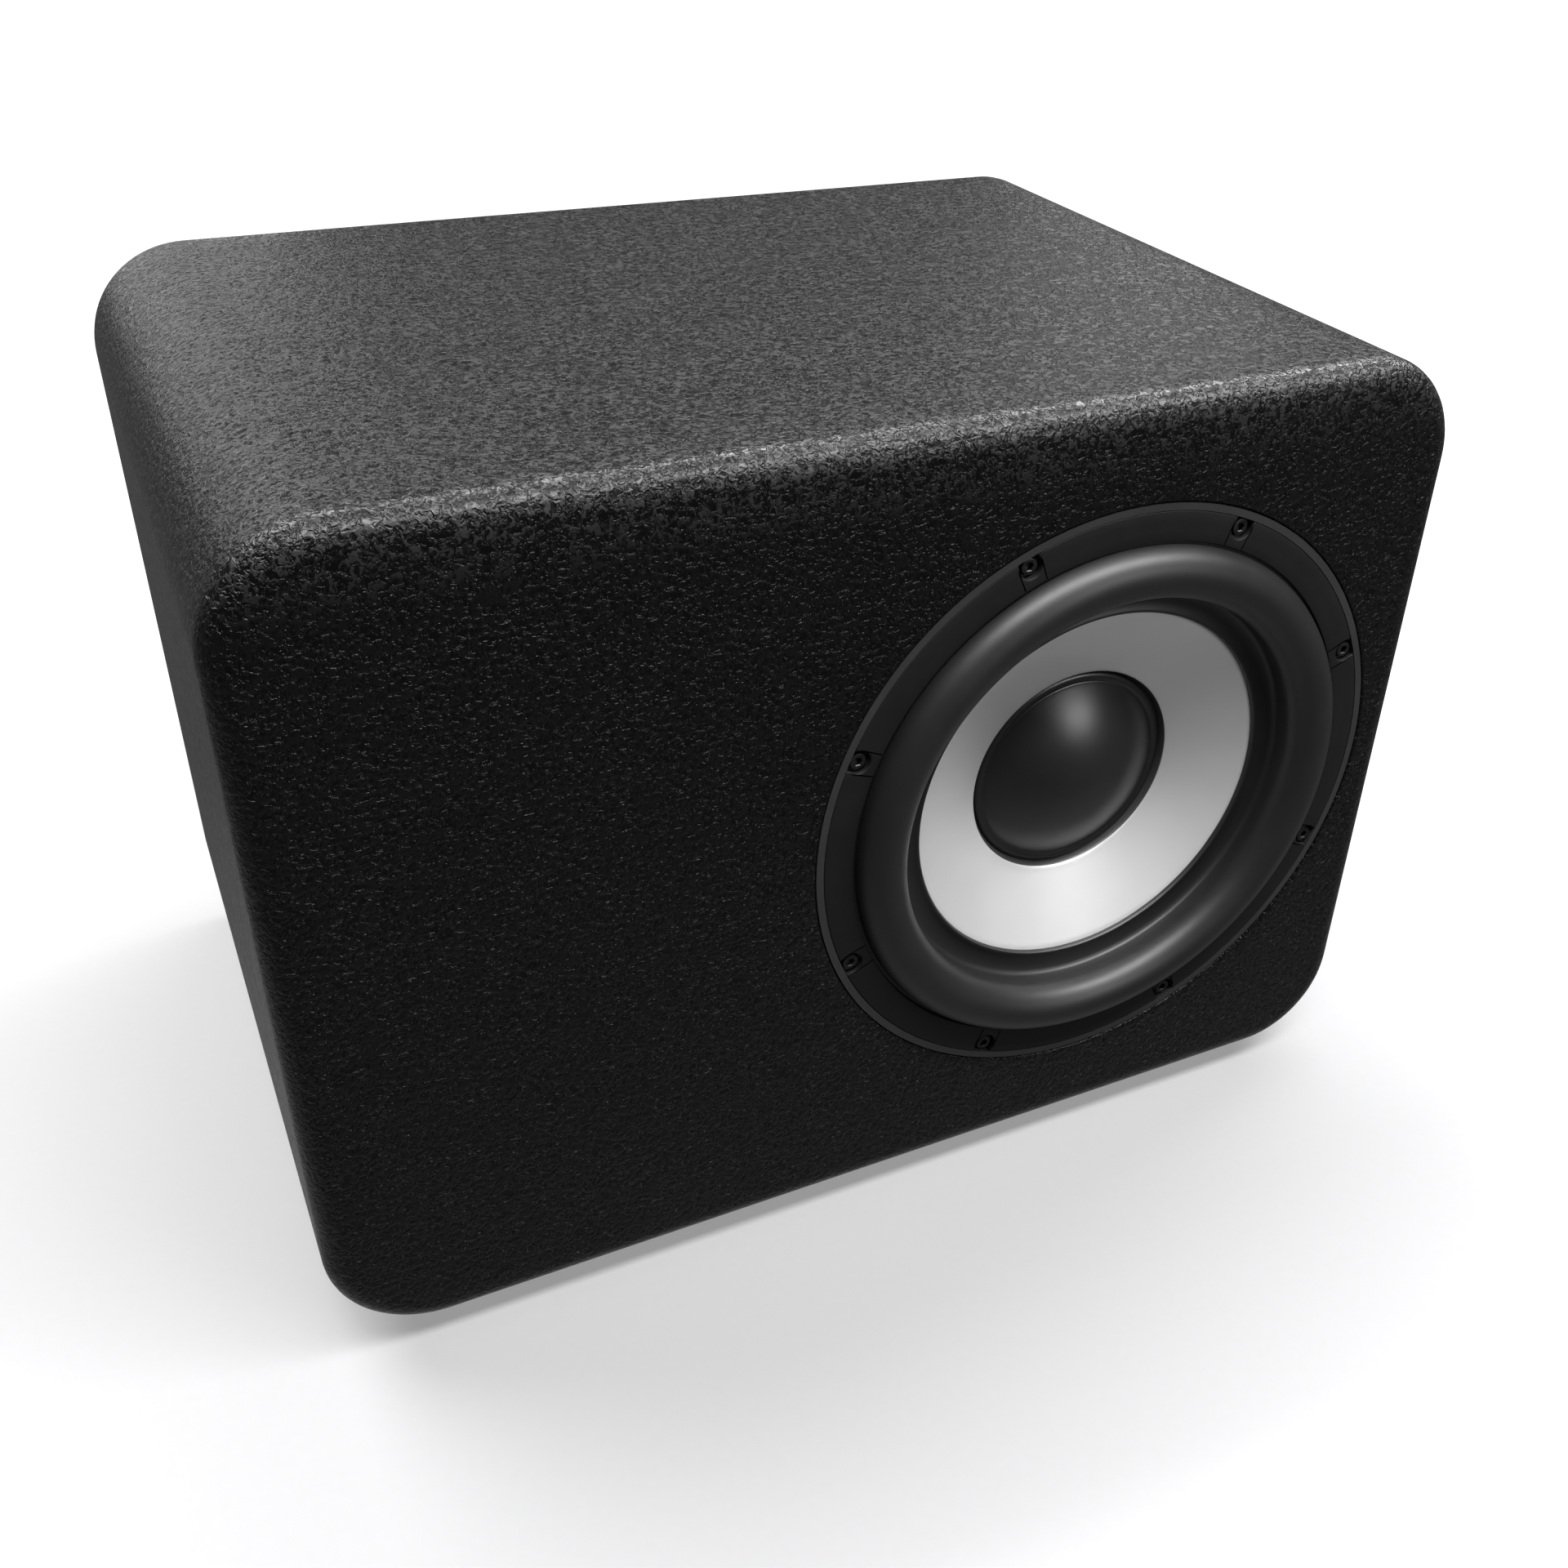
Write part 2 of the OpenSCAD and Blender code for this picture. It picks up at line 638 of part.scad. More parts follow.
// Braided leads from the cone to the terminal block, slack enough for the travel
module tinsel_leads() {
    r = 0.9;
    start = 43;
    end = -block_x - 4;
    color("#b9783c") on_driver() for (s = [-1, 1])
        wire([for (p = concat([[start, cone_at(start) + cone_t / cos(cone_angle) + r]],
            tinsel_route, [[end, landing_d]])) [-p[0], 8 * s, p[1]]], r);
}

// Pair of speaker leads from the terminal block to the amplifier's board
module speaker_wires() {
    start = [driver_x + block_x + 4, landing_d + block_l + tab_l, 0];
    end = [board_at[0] - board_size[0] / 2 + 8, cab_d - board_front - board_thick, 48];
    middle = [for (p = speaker_route) [p[0], start[1] + p[1] * (end[1] - start[1]), p[2]]];
    color("#7a1f1c") for (s = [-1, 1])
        wire([for (p = concat([start + [0, 0, 5 * s], start + [-1, 8, 4 * s]], middle,
            [end + [0, -8, 0], end])) [p[0], front_y + p[1], mid_z + p[2] + 3 * s]], 1.5);
}

// ---- amplifier ----

// Places children on the plate's outer face at each screw of the inlet
module inlet_screw_places() {
    for (s = [-1, 1]) on_rear(inlet_at + [s * inlet_screw_x, 0]) children();
}

// Places children on the plate's outer face at each of its screws
module amp_screw_places() {
    sx = amp_w / 2 - amp_lip / 2;
    sz = amp_h / 2 - amp_lip / 2;
    for (p = [[-sx, -sz], [0, -sz], [sx, -sz], [-sx, 0], [sx, 0], [-sx, sz], [0, sz], [sx, sz]])
        on_rear(p) children();
}

module standoff_places() {
    for (sx = [-1, 1], sz = [-1, 1])
        on_rear(board_at + [sx * (board_size[0] / 2 - 4), sz * (board_size[1] / 2 - 4)]) children();
}

module amp_plate() {
    color("#2c2d2f") difference() {
        on_rear() translate([0, 0, -amp_t]) linear_extrude(amp_t)
            polygon(round_rect(amp_w, amp_h, amp_corner));
        amp_screw_places() translate([0, 0, -amp_t - 1]) cylinder(r = screw_r + 0.2, h = amp_t + 2);
        for (p = [volume_at, crossover_at]) on_rear(p) translate([0, 0, -amp_t - 1])
            cylinder(r = bush_r + gap, h = amp_t + 2);
        on_rear(led_at) translate([0, 0, -amp_t - 1]) cylinder(r = led_r + gap, h = amp_t + 2);
        for (p = jack_at) on_rear(p) translate([0, 0, -amp_t - 1])
            cylinder(r = jack_r + gap, h = amp_t + 2);
        on_rear(phase_at) slot_cut(phase_travel / 2);
        on_rear(mode_at) slot_cut(mode_travel);
        on_rear(rocker_at) translate([0, 0, -amp_t / 2])
            cube([rocker_body[0] + 0.2, rocker_body[1] + 0.2, amp_t + 2], center = true);
        on_rear(inlet_at) translate([0, 0, -amp_t / 2])
            cube([inlet_body[0] + 0.2, inlet_body[1] + 0.2, amp_t + 2], center = true);
        inlet_screw_places() translate([0, 0, -amp_t - 1])
            cylinder(r = inlet_screw_r + gap, h = amp_t + 2);
        on_rear(toroid_at) translate([0, 0, -amp_t - 1]) cylinder(r = bolt_r + gap, h = amp_t + 2);
    }
}

module slot_cut(reach) {
    translate([0, 0, -amp_t / 2])
        cube([lever_w + 2 * reach + 1, lever_h + 1, amp_t + 2], center = true);
}

module amp_seal() {
    color("#1d1d1d") difference() {
        on_rear() translate([0, 0, -amp_t - seal_rear_t]) linear_extrude(seal_rear_t) difference() {
            polygon(round_rect(amp_w, amp_h, amp_corner));
            polygon(round_rect(cut_w, cut_h, amp_corner));
        }
        amp_screw_places() translate([0, 0, -amp_t - seal_rear_t - 1])
            cylinder(r = screw_r + gap, h = seal_rear_t + 2);
    }
}

// Pan head screw with a cross recess, standing on the face at z = 0
module pan_screw(r, l) {
    head = r + 2;
    difference() {
        union() {
            cylinder(r1 = head, r2 = head - 1, h = 2.2);
            translate([0, 0, -l]) cylinder(r = r, h = l + eps);
        }
        for (a = [0, 90]) rotate([0, 0, a]) translate([0.1 - r, -0.4, 1]) cube([2 * r - 0.2, 0.8, 2]);
    }
}

// Screws of the plate into the rear panel, and of the inlet into the plate
module amp_screws() {
    color("#1c1c1e") {
        amp_screw_places() pan_screw(screw_r, amp_screw_l);
        inlet_screw_places() translate([0, 0, inlet_face])
            pan_screw(inlet_screw_r, inlet_face + amp_t + 4);
    }
}

module heatsink() {
    pitch = (sink_w - fin_t) / (fin_count - 1);
    color("#232426") on_rear(sink_at) rotate([90, 0, 0])
        translate([0, 0, -sink_l / 2]) linear_extrude(sink_l) {
            translate([-sink_w / 2, 0]) square([sink_w, sink_base]);
            for (i = [0:fin_count - 1]) translate([-sink_w / 2 + i * pitch, sink_base - eps])
                square([fin_t, sink_h - sink_base + eps]);
        }
}

module amp_board() {
    color("#1f5a34") difference() {
        on_rear(board_at) translate([-board_size[0] / 2, -board_size[1] / 2, -board_front - board_thick])
            cube([board_size[0], board_size[1], board_thick]);
        standoff_places() translate([0, 0, -board_front - 3]) cylinder(r = 1.6, h = 5);
    }
}

module board_standoffs() {
    color("#c8a44a") standoff_places() {
        translate([0, 0, -board_front]) cylinder(r = standoff_r, h = board_front - amp_t);
        translate([0, 0, -board_front - 4]) cylinder(r = 1.5, h = 4 + eps);
    }
}

module filter_capacitors() {
    color("#20324f") for (s = [-1, 1])
        on_rear(board_at + [18, s * 20]) translate([0, 0, -board_front - board_thick - capacitor_h])
            cylinder(r = capacitor_r, h = capacitor_h);
}

module transformer() {
    color("#d9b84c") on_rear(toroid_at) translate([0, 0, -amp_t - toroid_h]) rotate_extrude()
        polygon([[toroid_hole, 4], [toroid_hole + 4, 0], [toroid_r - 6, 0], [toroid_r, 6],
            [toroid_r, toroid_h - 6], [toroid_r - 6, toroid_h], [toroid_hole + 4, toroid_h],
            [toroid_hole, toroid_h - 4]]);
}

module transformer_bolt() {
    color("#9a9da1") on_rear(toroid_at) {
        translate([0, 0, -amp_t - toroid_h - 2]) cylinder(r = toroid_r - 12, h = 2);
        translate([0, 0, -amp_t - toroid_h - 7]) cylinder(r = 5.5, h = 5, $fn = 6);
        translate([0, 0, -amp_t - toroid_h - 2]) cylinder(r = bolt_r, h = toroid_h + 2 + amp_t - 0.2);
    }
}

// Potentiometer with its bush and nut through the plate
module pot(at) {
    color("#8d9094") on_rear(at) difference() {
        union() {
            translate([0, 0, -amp_t - pot_depth]) cylinder(r = 8.5, h = pot_depth);
            translate([0, 0, -amp_t - eps]) cylinder(r = bush_r, h = amp_t + bush_l + eps);
            cylinder(r = 5.6, h = nut_h, $fn = 6);
        }
        translate([0, 0, -amp_t - pot_depth + 2]) cylinder(r = shaft_r + gap, h = 40);
    }
}

module shaft(at) {
    start = -amp_t - pot_depth + 2 + free;
    color("#c7cacd") on_rear(at) translate([0, 0, start])
        cylinder(r = shaft_r, h = knob_l - 2 - start);
}

// Fluted knob with a hollow underside and a pointer groove on its face
module knob(at) {
    flutes = 24;
    n = 96;
    r = knob_d / 2;
    color("#1b1b1c") on_rear(at) difference() {
        union() {
            translate([0, 0, 1]) cylinder(r = r, h = 2.5);
            translate([0, 0, 3]) linear_extrude(knob_l - 3.6) polygon([for (i = [0:n - 1])
                let(a = 360 * i / n) (r - 1.2 + 0.35 * cos(flutes * a)) * [cos(a), sin(a)]]);
            translate([0, 0, knob_l - 0.6 - eps]) cylinder(r1 = r - 1.6, r2 = r - 2.2, h = 0.6 + eps);
        }
        cylinder(r = 6.6, h = bush_l + free);
        cylinder(r = shaft_r + gap, h = knob_l - 2);
        translate([-0.6, -r, knob_l - 0.8]) cube([1.2, r - 3, 2]);
    }
}

module volume_pot() { pot(volume_at); }
module volume_shaft() { shaft(volume_at); }
module volume_knob() { knob(volume_at); }
module crossover_pot() { pot(crossover_at); }
module crossover_shaft() { shaft(crossover_at); }
module crossover_knob() { knob(crossover_at); }

// Slide switch body behind the plate, with a channel for its slider
module slide_switch(at, reach) {
    l = lever_w + 2 * reach;
    color("#3a3a3c") on_rear(at) translate([0, 0, -amp_t]) difference() {
        translate([-l / 2 - 6, -6, -9]) cube([l + 12, 12, 9]);
        translate([-l / 2 - 2.5, -3.5, -4.5]) cube([l + 5, 7, 5]);
    }
}

// Lever with a wide foot that runs in the switch body's channel
module slider(at, offset) {
    color("#111112") on_rear(at) translate([offset, 0, -amp_t]) {
        translate([-lever_w / 2 - 1.5, -lever_h / 2 - 1.3, -4.2]) cube([lever_w + 3, lever_h + 2.6, 3.6]);
        translate([-lever_w / 2, -lever_h / 2, -0.6 - eps]) cube([lever_w, lever_h, amp_t + 4]);
    }
}

module phase_switch() { slide_switch(phase_at, phase_travel / 2); }
module phase_slider() { slider(phase_at, -phase_travel / 2); }
module mode_switch() { slide_switch(mode_at, mode_travel); }
module mode_slider() { slider(mode_at, 0); }

module line_jacks() {
    color("#c9a84f") for (p = jack_at) on_rear(p) difference() {
        union() {
            translate([0, 0, -amp_t - 8]) cylinder(r = jack_r, h = amp_t + 8 + 10);
            cylinder(r = 6.2, h = 2.2, $fn = 6);
            translate([0, 0, -amp_t - 2.2]) cylinder(r = 6.2, h = 2.2, $fn = 6);
        }
        translate([0, 0, -5]) cylinder(r = jack_r - 0.8, h = 20);
    }
}

module jack_insulators() {
    color("#b02a24") for (p = jack_at) on_rear(p) difference() {
        translate([0, 0, -5]) cylinder(r = jack_r - 0.8, h = 14.2);
        translate([0, 0, -4]) cylinder(r = 1.6, h = 20);
    }
}

module rocker_frame() {
    color("#161617") on_rear(rocker_at) difference() {
        union() {
            translate([-rocker_body[0] / 2 - 1.5, -rocker_body[1] / 2 - 1.5, 0])
                cube([rocker_body[0] + 3, rocker_body[1] + 3, bezel_h]);
            translate([-rocker_body[0] / 2, -rocker_body[1] / 2, -rocker_depth])
                cube([rocker_body[0], rocker_body[1], rocker_depth + eps]);
        }
        translate([-rocker_w / 2 - free, -rocker_r - free, -8])
            cube([rocker_w + 2 * free, 2 * rocker_r + 2 * free, 20]);
    }
    color("#c7b25a") on_rear(rocker_at) for (sx = [-1, 1], sz = [-1, 1])
        translate([rocker_tab_x * sx - 2.4, 7 * sz - 0.4, -rocker_depth - inlet_tab])
            cube([4.8, 0.8, inlet_tab]);
}

// Paddle with two flats that meet in a shallow V, turned to its off side
module power_rocker() {
    drop = 2.2;
    color("#202022") on_rear(rocker_at) rotate([rocker_tilt, 0, 0]) rotate([0, -90, 0])
        translate([0, 0, -rocker_w / 2]) linear_extrude(rocker_w) intersection() {
            circle(r = rocker_r);
            polygon([[-5, -12], [drop + 12 * tan(rocker_tilt), -12], [drop, 0],
                [drop + 12 * tan(rocker_tilt), 12], [-5, 12]]);
        }
}

// Appliance inlet with a socket over a fuse drawer
module mains_inlet() {
    color("#19191a") on_rear(inlet_at) difference() {
        union() {
            linear_extrude(inlet_face) polygon(round_rect(inlet_flange[0], inlet_flange[1], 5, 4));
            translate([-inlet_body[0] / 2, -inlet_body[1] / 2, -inlet_depth])
                cube([inlet_body[0], inlet_body[1], inlet_depth + eps]);
        }
        translate([0, -socket_up, inlet_face - socket_depth]) linear_extrude(socket_depth + 1)
            polygon([[-socket_w / 2, socket_h / 2], [-socket_w / 2, 4 - socket_h / 2],
                [4 - socket_w / 2, -socket_h / 2], [socket_w / 2 - 4, -socket_h / 2],
                [socket_w / 2, 4 - socket_h / 2], [socket_w / 2, socket_h / 2]]);
        translate([-drawer_w / 2 - free, -drawer_down - drawer_h / 2 - free, inlet_face - drawer_l])
            cube([drawer_w + 2 * free, drawer_h + 2 * free, drawer_l + 1]);
        for (s = [-1, 1]) translate([inlet_screw_x * s, 0, -1])
            cylinder(r = inlet_screw_r + gap, h = inlet_face + 2);
    }
}

module inlet_pins() {
    color("#cfd2d4") on_rear(inlet_at) {
        for (p = [[-7, 2 - socket_up], [7, 2 - socket_up], [0, -2 - socket_up]])
            translate([p[0] - 1, p[1] - 2, inlet_face - socket_depth])
                cube([2, 4, socket_depth - 5]);
        for (p = [[-7, 2 - socket_up], [7, 2 - socket_up], [0, -2 - socket_up]])
            translate([p[0] - 3, p[1] - 0.4, -inlet_depth - inlet_tab]) cube([6, 0.8, inlet_tab]);
    }
}

module fuse_drawer() {
    color("#232324") on_rear(inlet_at) translate([0, -drawer_down, inlet_face]) difference() {
        union() {
            translate([-drawer_w / 2, -drawer_h / 2, free - drawer_l + 0.4])
                cube([drawer_w, drawer_h, drawer_l - 0.4]);
            translate([-drawer_w / 2 - 1.2, -drawer_h / 2 - 0.6, free]) cube([drawer_w + 2.4, drawer_h + 1.2, 1.6]);
        }
        translate([0, 0, free - drawer_l - 1]) cylinder(r = fuse_r + gap, h = drawer_l);
        translate([-4, -drawer_h / 2 - 2, free + 0.6]) cube([8, 3, 3]);
    }
}

module fuse() {
    color("#d8dde0") on_rear(inlet_at) translate([0, -drawer_down, inlet_face + free - drawer_l + 0.6])
        cylinder(r = fuse_r, h = 20);
}

module status_led() {
    color("#3fae5a") on_rear(led_at) union() {
        translate([0, 0, -amp_t - 4]) cylinder(r = led_r, h = amp_t + 5.5);
        translate([0, 0, -amp_t - 5]) cylinder(r = led_r + 0.6, h = 1 + eps);
        translate([0, 0, 1.5]) rotate_extrude() intersection() {
            translate([0, -0.4]) circle(r = led_r);
            translate([0, -eps]) square([led_r, led_r]);
        }
    }
}

// Insulated leads: inlet to power switch, switch to transformer, transformer to board
module amp_wiring() {
    tab_end = inlet_depth + inlet_tab;
    toroid_side = toroid_at[0] + sqrt(pow(toroid_r, 2) - 49) + 0.2;
    board_x = board_at[0] - board_size[0] / 2 + 8;
    color("#28458c") for (s = [-1, 1]) {
        start = [inlet_at[0] + 7 * s, tab_end, inlet_at[1] + socket_up - 2];
        rocker_in = [rocker_at[0] + rocker_tab_x, rocker_depth + inlet_tab, rocker_at[1] + 7 * s];
        rocker_out = rocker_in - [2 * rocker_tab_x, 0, 0];
        side = [toroid_side, 30, toroid_at[1] + 7 * s];
        lead(concat([start, start + [0, 1.5, 0], start + [0, 3, 0]],
            [for (p = inlet_route) [p[0] + 4 * s, p[1], inlet_at[1] + 4 + 5 * s]],
            [rocker_in + [0, 4, 0], rocker_in]));
        lead(concat([rocker_out, rocker_out + [-1, 4, 0]],
            [for (p = primary_route) [p[0], p[1], (rocker_at[1] + toroid_at[1]) / 2 + 7 * s]],
            [side + [5, 0, 0], side]));
        lead(concat([[toroid_at[0] + 34, amp_t + toroid_h, toroid_at[1] + 14 + 5 * s],
            [toroid_at[0] + 36, amp_t + toroid_h + 8, toroid_at[1] + 16 + 5 * s]],
            [for (p = secondary_route) p + [0, 0, 3 * s]],
            [[board_x, board_front + board_thick + 6, 20 + 4 * s],
            [board_x, board_front + board_thick, 20 + 4 * s]]));
    }
}

// One lead along points given as x, depth behind the rear face and height on the plate
module lead(points) {
    wire([for (p = points) [p[0], rear_y - p[1], mid_z + p[2]]], 1.2);
}

coating();
baffle();
rear_panel();
top_panel();
bottom_panel();
left_panel();
right_panel();
corner_blocks();
window_brace();
damping_pads();
feet();
foot_screws();
basket();
flange_seal();
trim_gasket();
driver_screws();
threaded_inserts();
surround();
cone();
dust_cap();
coil_former();
voice_coil();
spider();
top_plate();
magnet();
pole_yoke();
shorting_ring();
magnet_boot();
terminal_block();
tinsel_leads();
speaker_wires();
amp_plate();
amp_seal();
amp_screws();
heatsink();
amp_board();
board_standoffs();
filter_capacitors();
transformer();
transformer_bolt();
volume_pot();
volume_shaft();
volume_knob();
crossover_pot();
crossover_shaft();
crossover_knob();
phase_switch();
phase_slider();
mode_switch();
mode_slider();
line_jacks();
jack_insulators();
rocker_frame();
power_rocker();
mains_inlet();
inlet_pins();
fuse_drawer();
fuse();
status_led();
amp_wiring();
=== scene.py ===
import math

import bmesh
import bpy
import numpy as np
from mathutils import Matrix, Vector


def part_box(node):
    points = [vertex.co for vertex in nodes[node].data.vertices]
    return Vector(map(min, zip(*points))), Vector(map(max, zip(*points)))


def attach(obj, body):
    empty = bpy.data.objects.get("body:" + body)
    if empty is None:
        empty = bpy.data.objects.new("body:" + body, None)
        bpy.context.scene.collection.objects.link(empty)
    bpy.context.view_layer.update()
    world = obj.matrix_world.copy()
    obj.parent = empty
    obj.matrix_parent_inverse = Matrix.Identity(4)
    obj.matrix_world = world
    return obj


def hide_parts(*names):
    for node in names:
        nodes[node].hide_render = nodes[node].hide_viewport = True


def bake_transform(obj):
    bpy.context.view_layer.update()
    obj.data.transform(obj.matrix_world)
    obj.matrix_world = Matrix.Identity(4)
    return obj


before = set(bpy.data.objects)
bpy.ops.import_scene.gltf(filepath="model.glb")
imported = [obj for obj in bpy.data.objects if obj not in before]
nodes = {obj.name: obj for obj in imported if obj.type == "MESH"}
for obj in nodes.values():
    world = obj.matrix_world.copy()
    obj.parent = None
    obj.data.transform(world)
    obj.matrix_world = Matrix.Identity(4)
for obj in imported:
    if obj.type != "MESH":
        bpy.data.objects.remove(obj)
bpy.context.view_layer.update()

# ---- Studio ----
# A wide sheet of glowing pale paper, its glow dimmed round the cabinet as a painted shadow, one
# camera, strip lights over the cabinet and over and before its front, two windows, the sun through
# thin cloud, and a dim room.

mm = 0.001
cabinet_low, cabinet_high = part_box("coating")
basket_low, basket_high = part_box("basket")
front_y = cabinet_low.y
rear_y = cabinet_high.y
axis_x = (basket_low.x + basket_high.x) / 2
axis_z = (basket_low.z + basket_high.z) / 2

camera_from_driver = Vector((-347.7, -455.6, 366.9)) * mm
camera_forward = Vector((0.3883, 0.7424, -0.5460))
camera_right = Vector((0.8959, -0.4428, 0.0351))

lens = bpy.data.cameras.new("camera")
lens.lens = 37.83
lens.sensor_width = 36
lens.shift_x = -0.0541
lens.shift_y = 0.0077
lens.clip_start = 0.02
camera = bpy.data.objects.new("camera", lens)
bpy.context.scene.collection.objects.link(camera)
back = -camera_forward.normalized()
up = back.cross(camera_right).normalized()
side = up.cross(back)
place = Vector((axis_x, front_y, axis_z)) + camera_from_driver
camera.matrix_world = Matrix.Translation(place) @ Matrix((side, up, back)).transposed().to_4x4()
bpy.context.scene.camera = camera


class Value:
    """A shader socket that adds, subtracts and multiplies: each sign is one Math node."""

    def __init__(self, finish, socket):
        self.finish, self.socket = finish, socket

    def math(self, operation, *terms):
        return self.finish.node("Math", {"operation": operation}, dict(enumerate(terms)))

    def __add__(self, other):
        return self.math("ADD", self, other)

    def __sub__(self, other):
        return self.math("SUBTRACT", self, other)

    def __rsub__(self, other):
        return self.math("SUBTRACT", other, self)

    def __mul__(self, other):
        return self.math("MULTIPLY", self, other)

    __radd__ = __add__
    __rmul__ = __mul__


class Finish:
    """A material, and the one way in which its nodes are made."""

    def __init__(self, name, tree_of=None):
        self.owner = tree_of or bpy.data.materials.new(name)
        self.owner.use_nodes = True
        self.nodes = self.owner.node_tree.nodes
        self.links = self.owner.node_tree.links

    def plug(self, socket, value):
        """Links a Value to a socket, or sets the socket's own number or colour."""
        if isinstance(value, Value):
            self.links.new(value.socket, socket)
        elif hasattr(value, "__len__") and socket.type == "RGBA":
            socket.default_value = (*value[:3], 1)
        else:
            socket.default_value = value

    def node(self, kind, settings=None, sockets=None, out=0):
        """A shader node of that kind: its settings first, then its sockets by name or number."""
        made = self.nodes.new("ShaderNode" + kind)
        for name, value in (settings or {}).items():
            if name == "stops":
                for element in range(len(value) - 2):
                    made.color_ramp.elements.new(0.5)
                for element, (position, grey) in zip(made.color_ramp.elements, value):
                    element.position = position
                    element.color = (grey, grey, grey, 1)
            else:
                setattr(made, name, value)
        for name, value in (sockets or {}).items():
            self.plug(made.inputs[name], value)
        return Value(self, made.outputs[out])

    def mix(self, share, first, second):
        """Colour that goes from the first to the second as the share goes from 0 to 1."""
        return self.node("Mix", {"data_type": "RGBA"}, {0: share, 6: first, 7: second}, out=2)

    def ramp(self, value, *stops):
        """Value read off a line through the given (position, grey) stops."""
        return self.node("ValToRGB", {"stops": stops}, {0: value})

    def noise(self, size, detail=2.0, rough=0.5, distortion=0.0, at=None):
        """Cloudy noise whose lumps are about that size, in metres, on the object's own place."""
        return self.node("TexNoise", None, {"Vector": at or self.place(), "Scale": 1 / size,
            "Detail": detail, "Roughness": rough, "Distortion": distortion})

    def place(self, offset=(0, 0, 0), scale=(1, 1, 1)):
        """The point on the object, moved and then stretched along the axes."""
        point = self.node("TexCoord", out=3)
        if any(offset) or scale != (1, 1, 1):
            moved = self.node("VectorMath", {"operation": "SUBTRACT"}, {0: point, 1: offset})
            point = self.node("Mapping", None, {"Vector": moved, "Scale": scale})
        return point

    def along(self, axis, offset=(0, 0, 0)):
        """One coordinate of the point on the object: 0 for x, 1 for y, 2 for z."""
        return self.node("SeparateXYZ", None, {0: self.place(offset)}, out=axis)

    def surface(self, colour, rough, height=None, depth=0.0, **constants):
        """Sets the surface's colour, roughness, relief of that depth, and any other sockets."""
        shader = self.nodes["Principled BSDF"]
        self.plug(shader.inputs["Base Color"], colour)
        self.plug(shader.inputs["Roughness"], rough)
        if height is not None:
            bump = self.node("Bump", None, {"Height": height, "Strength": 1.0, "Distance": depth})
            self.plug(shader.inputs["Normal"], bump)
        for name, value in constants.items():
            self.plug(shader.inputs[name.replace("_", " ").title().replace("Ior", "IOR")], value)
        return self.owner


def add_mesh(name, points, faces):
    """Object at the origin with that mesh in it."""
    mesh = bpy.data.meshes.new(name)
    mesh.from_pydata([tuple(p) for p in np.asarray(points, float)], [], [tuple(f) for f in faces])
    piece = bpy.data.objects.new(name, mesh)
    bpy.context.scene.collection.objects.link(piece)
    return piece


paper_half = 30.0
painted_shadow_middle = (0.05, -0.2, 0)
paper = add_mesh("paper_floor", [(-paper_half, -paper_half, 0), (paper_half, -paper_half, 0),
    (paper_half, paper_half, 0), (-paper_half, paper_half, 0)], [(0, 1, 2, 3)])
paper_look = Finish("paper")
fibres = paper_look.noise(4 * mm, detail=3)
# Painted shadow: the paper's glow is dimmer near the cabinet's foot, a painted soft shadow round
# it.
distance = paper_look.node("VectorMath", {"operation": "LENGTH"},
    {0: paper_look.place(painted_shadow_middle, (1, 1, 0))}, out=1)
glow_with_painted_shadow = paper_look.ramp(distance * 0.5, (0.15, 0.29), (0.60, 0.72))
paper_look.surface(paper_look.mix(fibres, (0.25, 0.25, 0.255), (0.27, 0.27, 0.275)), 0.9,
    fibres, 0.02 * mm, Emission_Color=glow_with_painted_shadow, Emission_Strength=1.0)
paper.data.materials.append(paper_look.owner)
paper.visible_glossy = False
paper.visible_diffuse = False

room = bpy.data.worlds.new("room")
bpy.context.scene.world = room
bpy.context.scene.view_settings.view_transform = "Standard"
room_look = Finish("room", room)
seen = room_look.node("LightPath", out=0)
direction = room_look.node("TexCoord", out=0)
height = room_look.node("SeparateXYZ", None, {0: direction}, out=2)
depth = room_look.node("SeparateXYZ", None, {0: direction}, out=1)
below_to_above = room_look.ramp(height * 0.5 + 0.5,
    (0.0, 1.0), (0.17, 0.7), (0.25, 0.33), (0.5, 0.33), (0.65, 0.3), (1.0, 0.1))
front_to_rear = room_look.ramp(depth * 0.5 + 0.5,
    (0.0, 0.18), (0.5, 0.36), (0.8, 0.42), (1.0, 0.43))
glow = below_to_above * front_to_rear
room_look.plug(room_look.nodes["Background"].inputs["Color"], room_look.mix(seen, glow, (1, 1, 1)))
middle = (cabinet_low + cabinet_high) / 2


def softbox(name, left, right, depth, power):
    """Strip light between those two places about the cabinet's middle, in metres, facing it.
    Its depth is the strip's width across, and its power is in watts."""
    light = bpy.data.lights.new(name, "AREA")
    light.shape = "RECTANGLE"
    length, centre = Vector(right) - Vector(left), (Vector(left) + Vector(right)) / 2
    light.size, light.size_y, light.energy = length.length, depth, power
    lamp = bpy.data.objects.new(name, light)
    across = length.normalized()
    away = (centre - across * centre.dot(across)).normalized()
    turn = Matrix((across, away.cross(across), away)).transposed()
    lamp.matrix_world = Matrix.Translation(middle + centre) @ turn.to_4x4()
    bpy.context.scene.collection.objects.link(lamp)


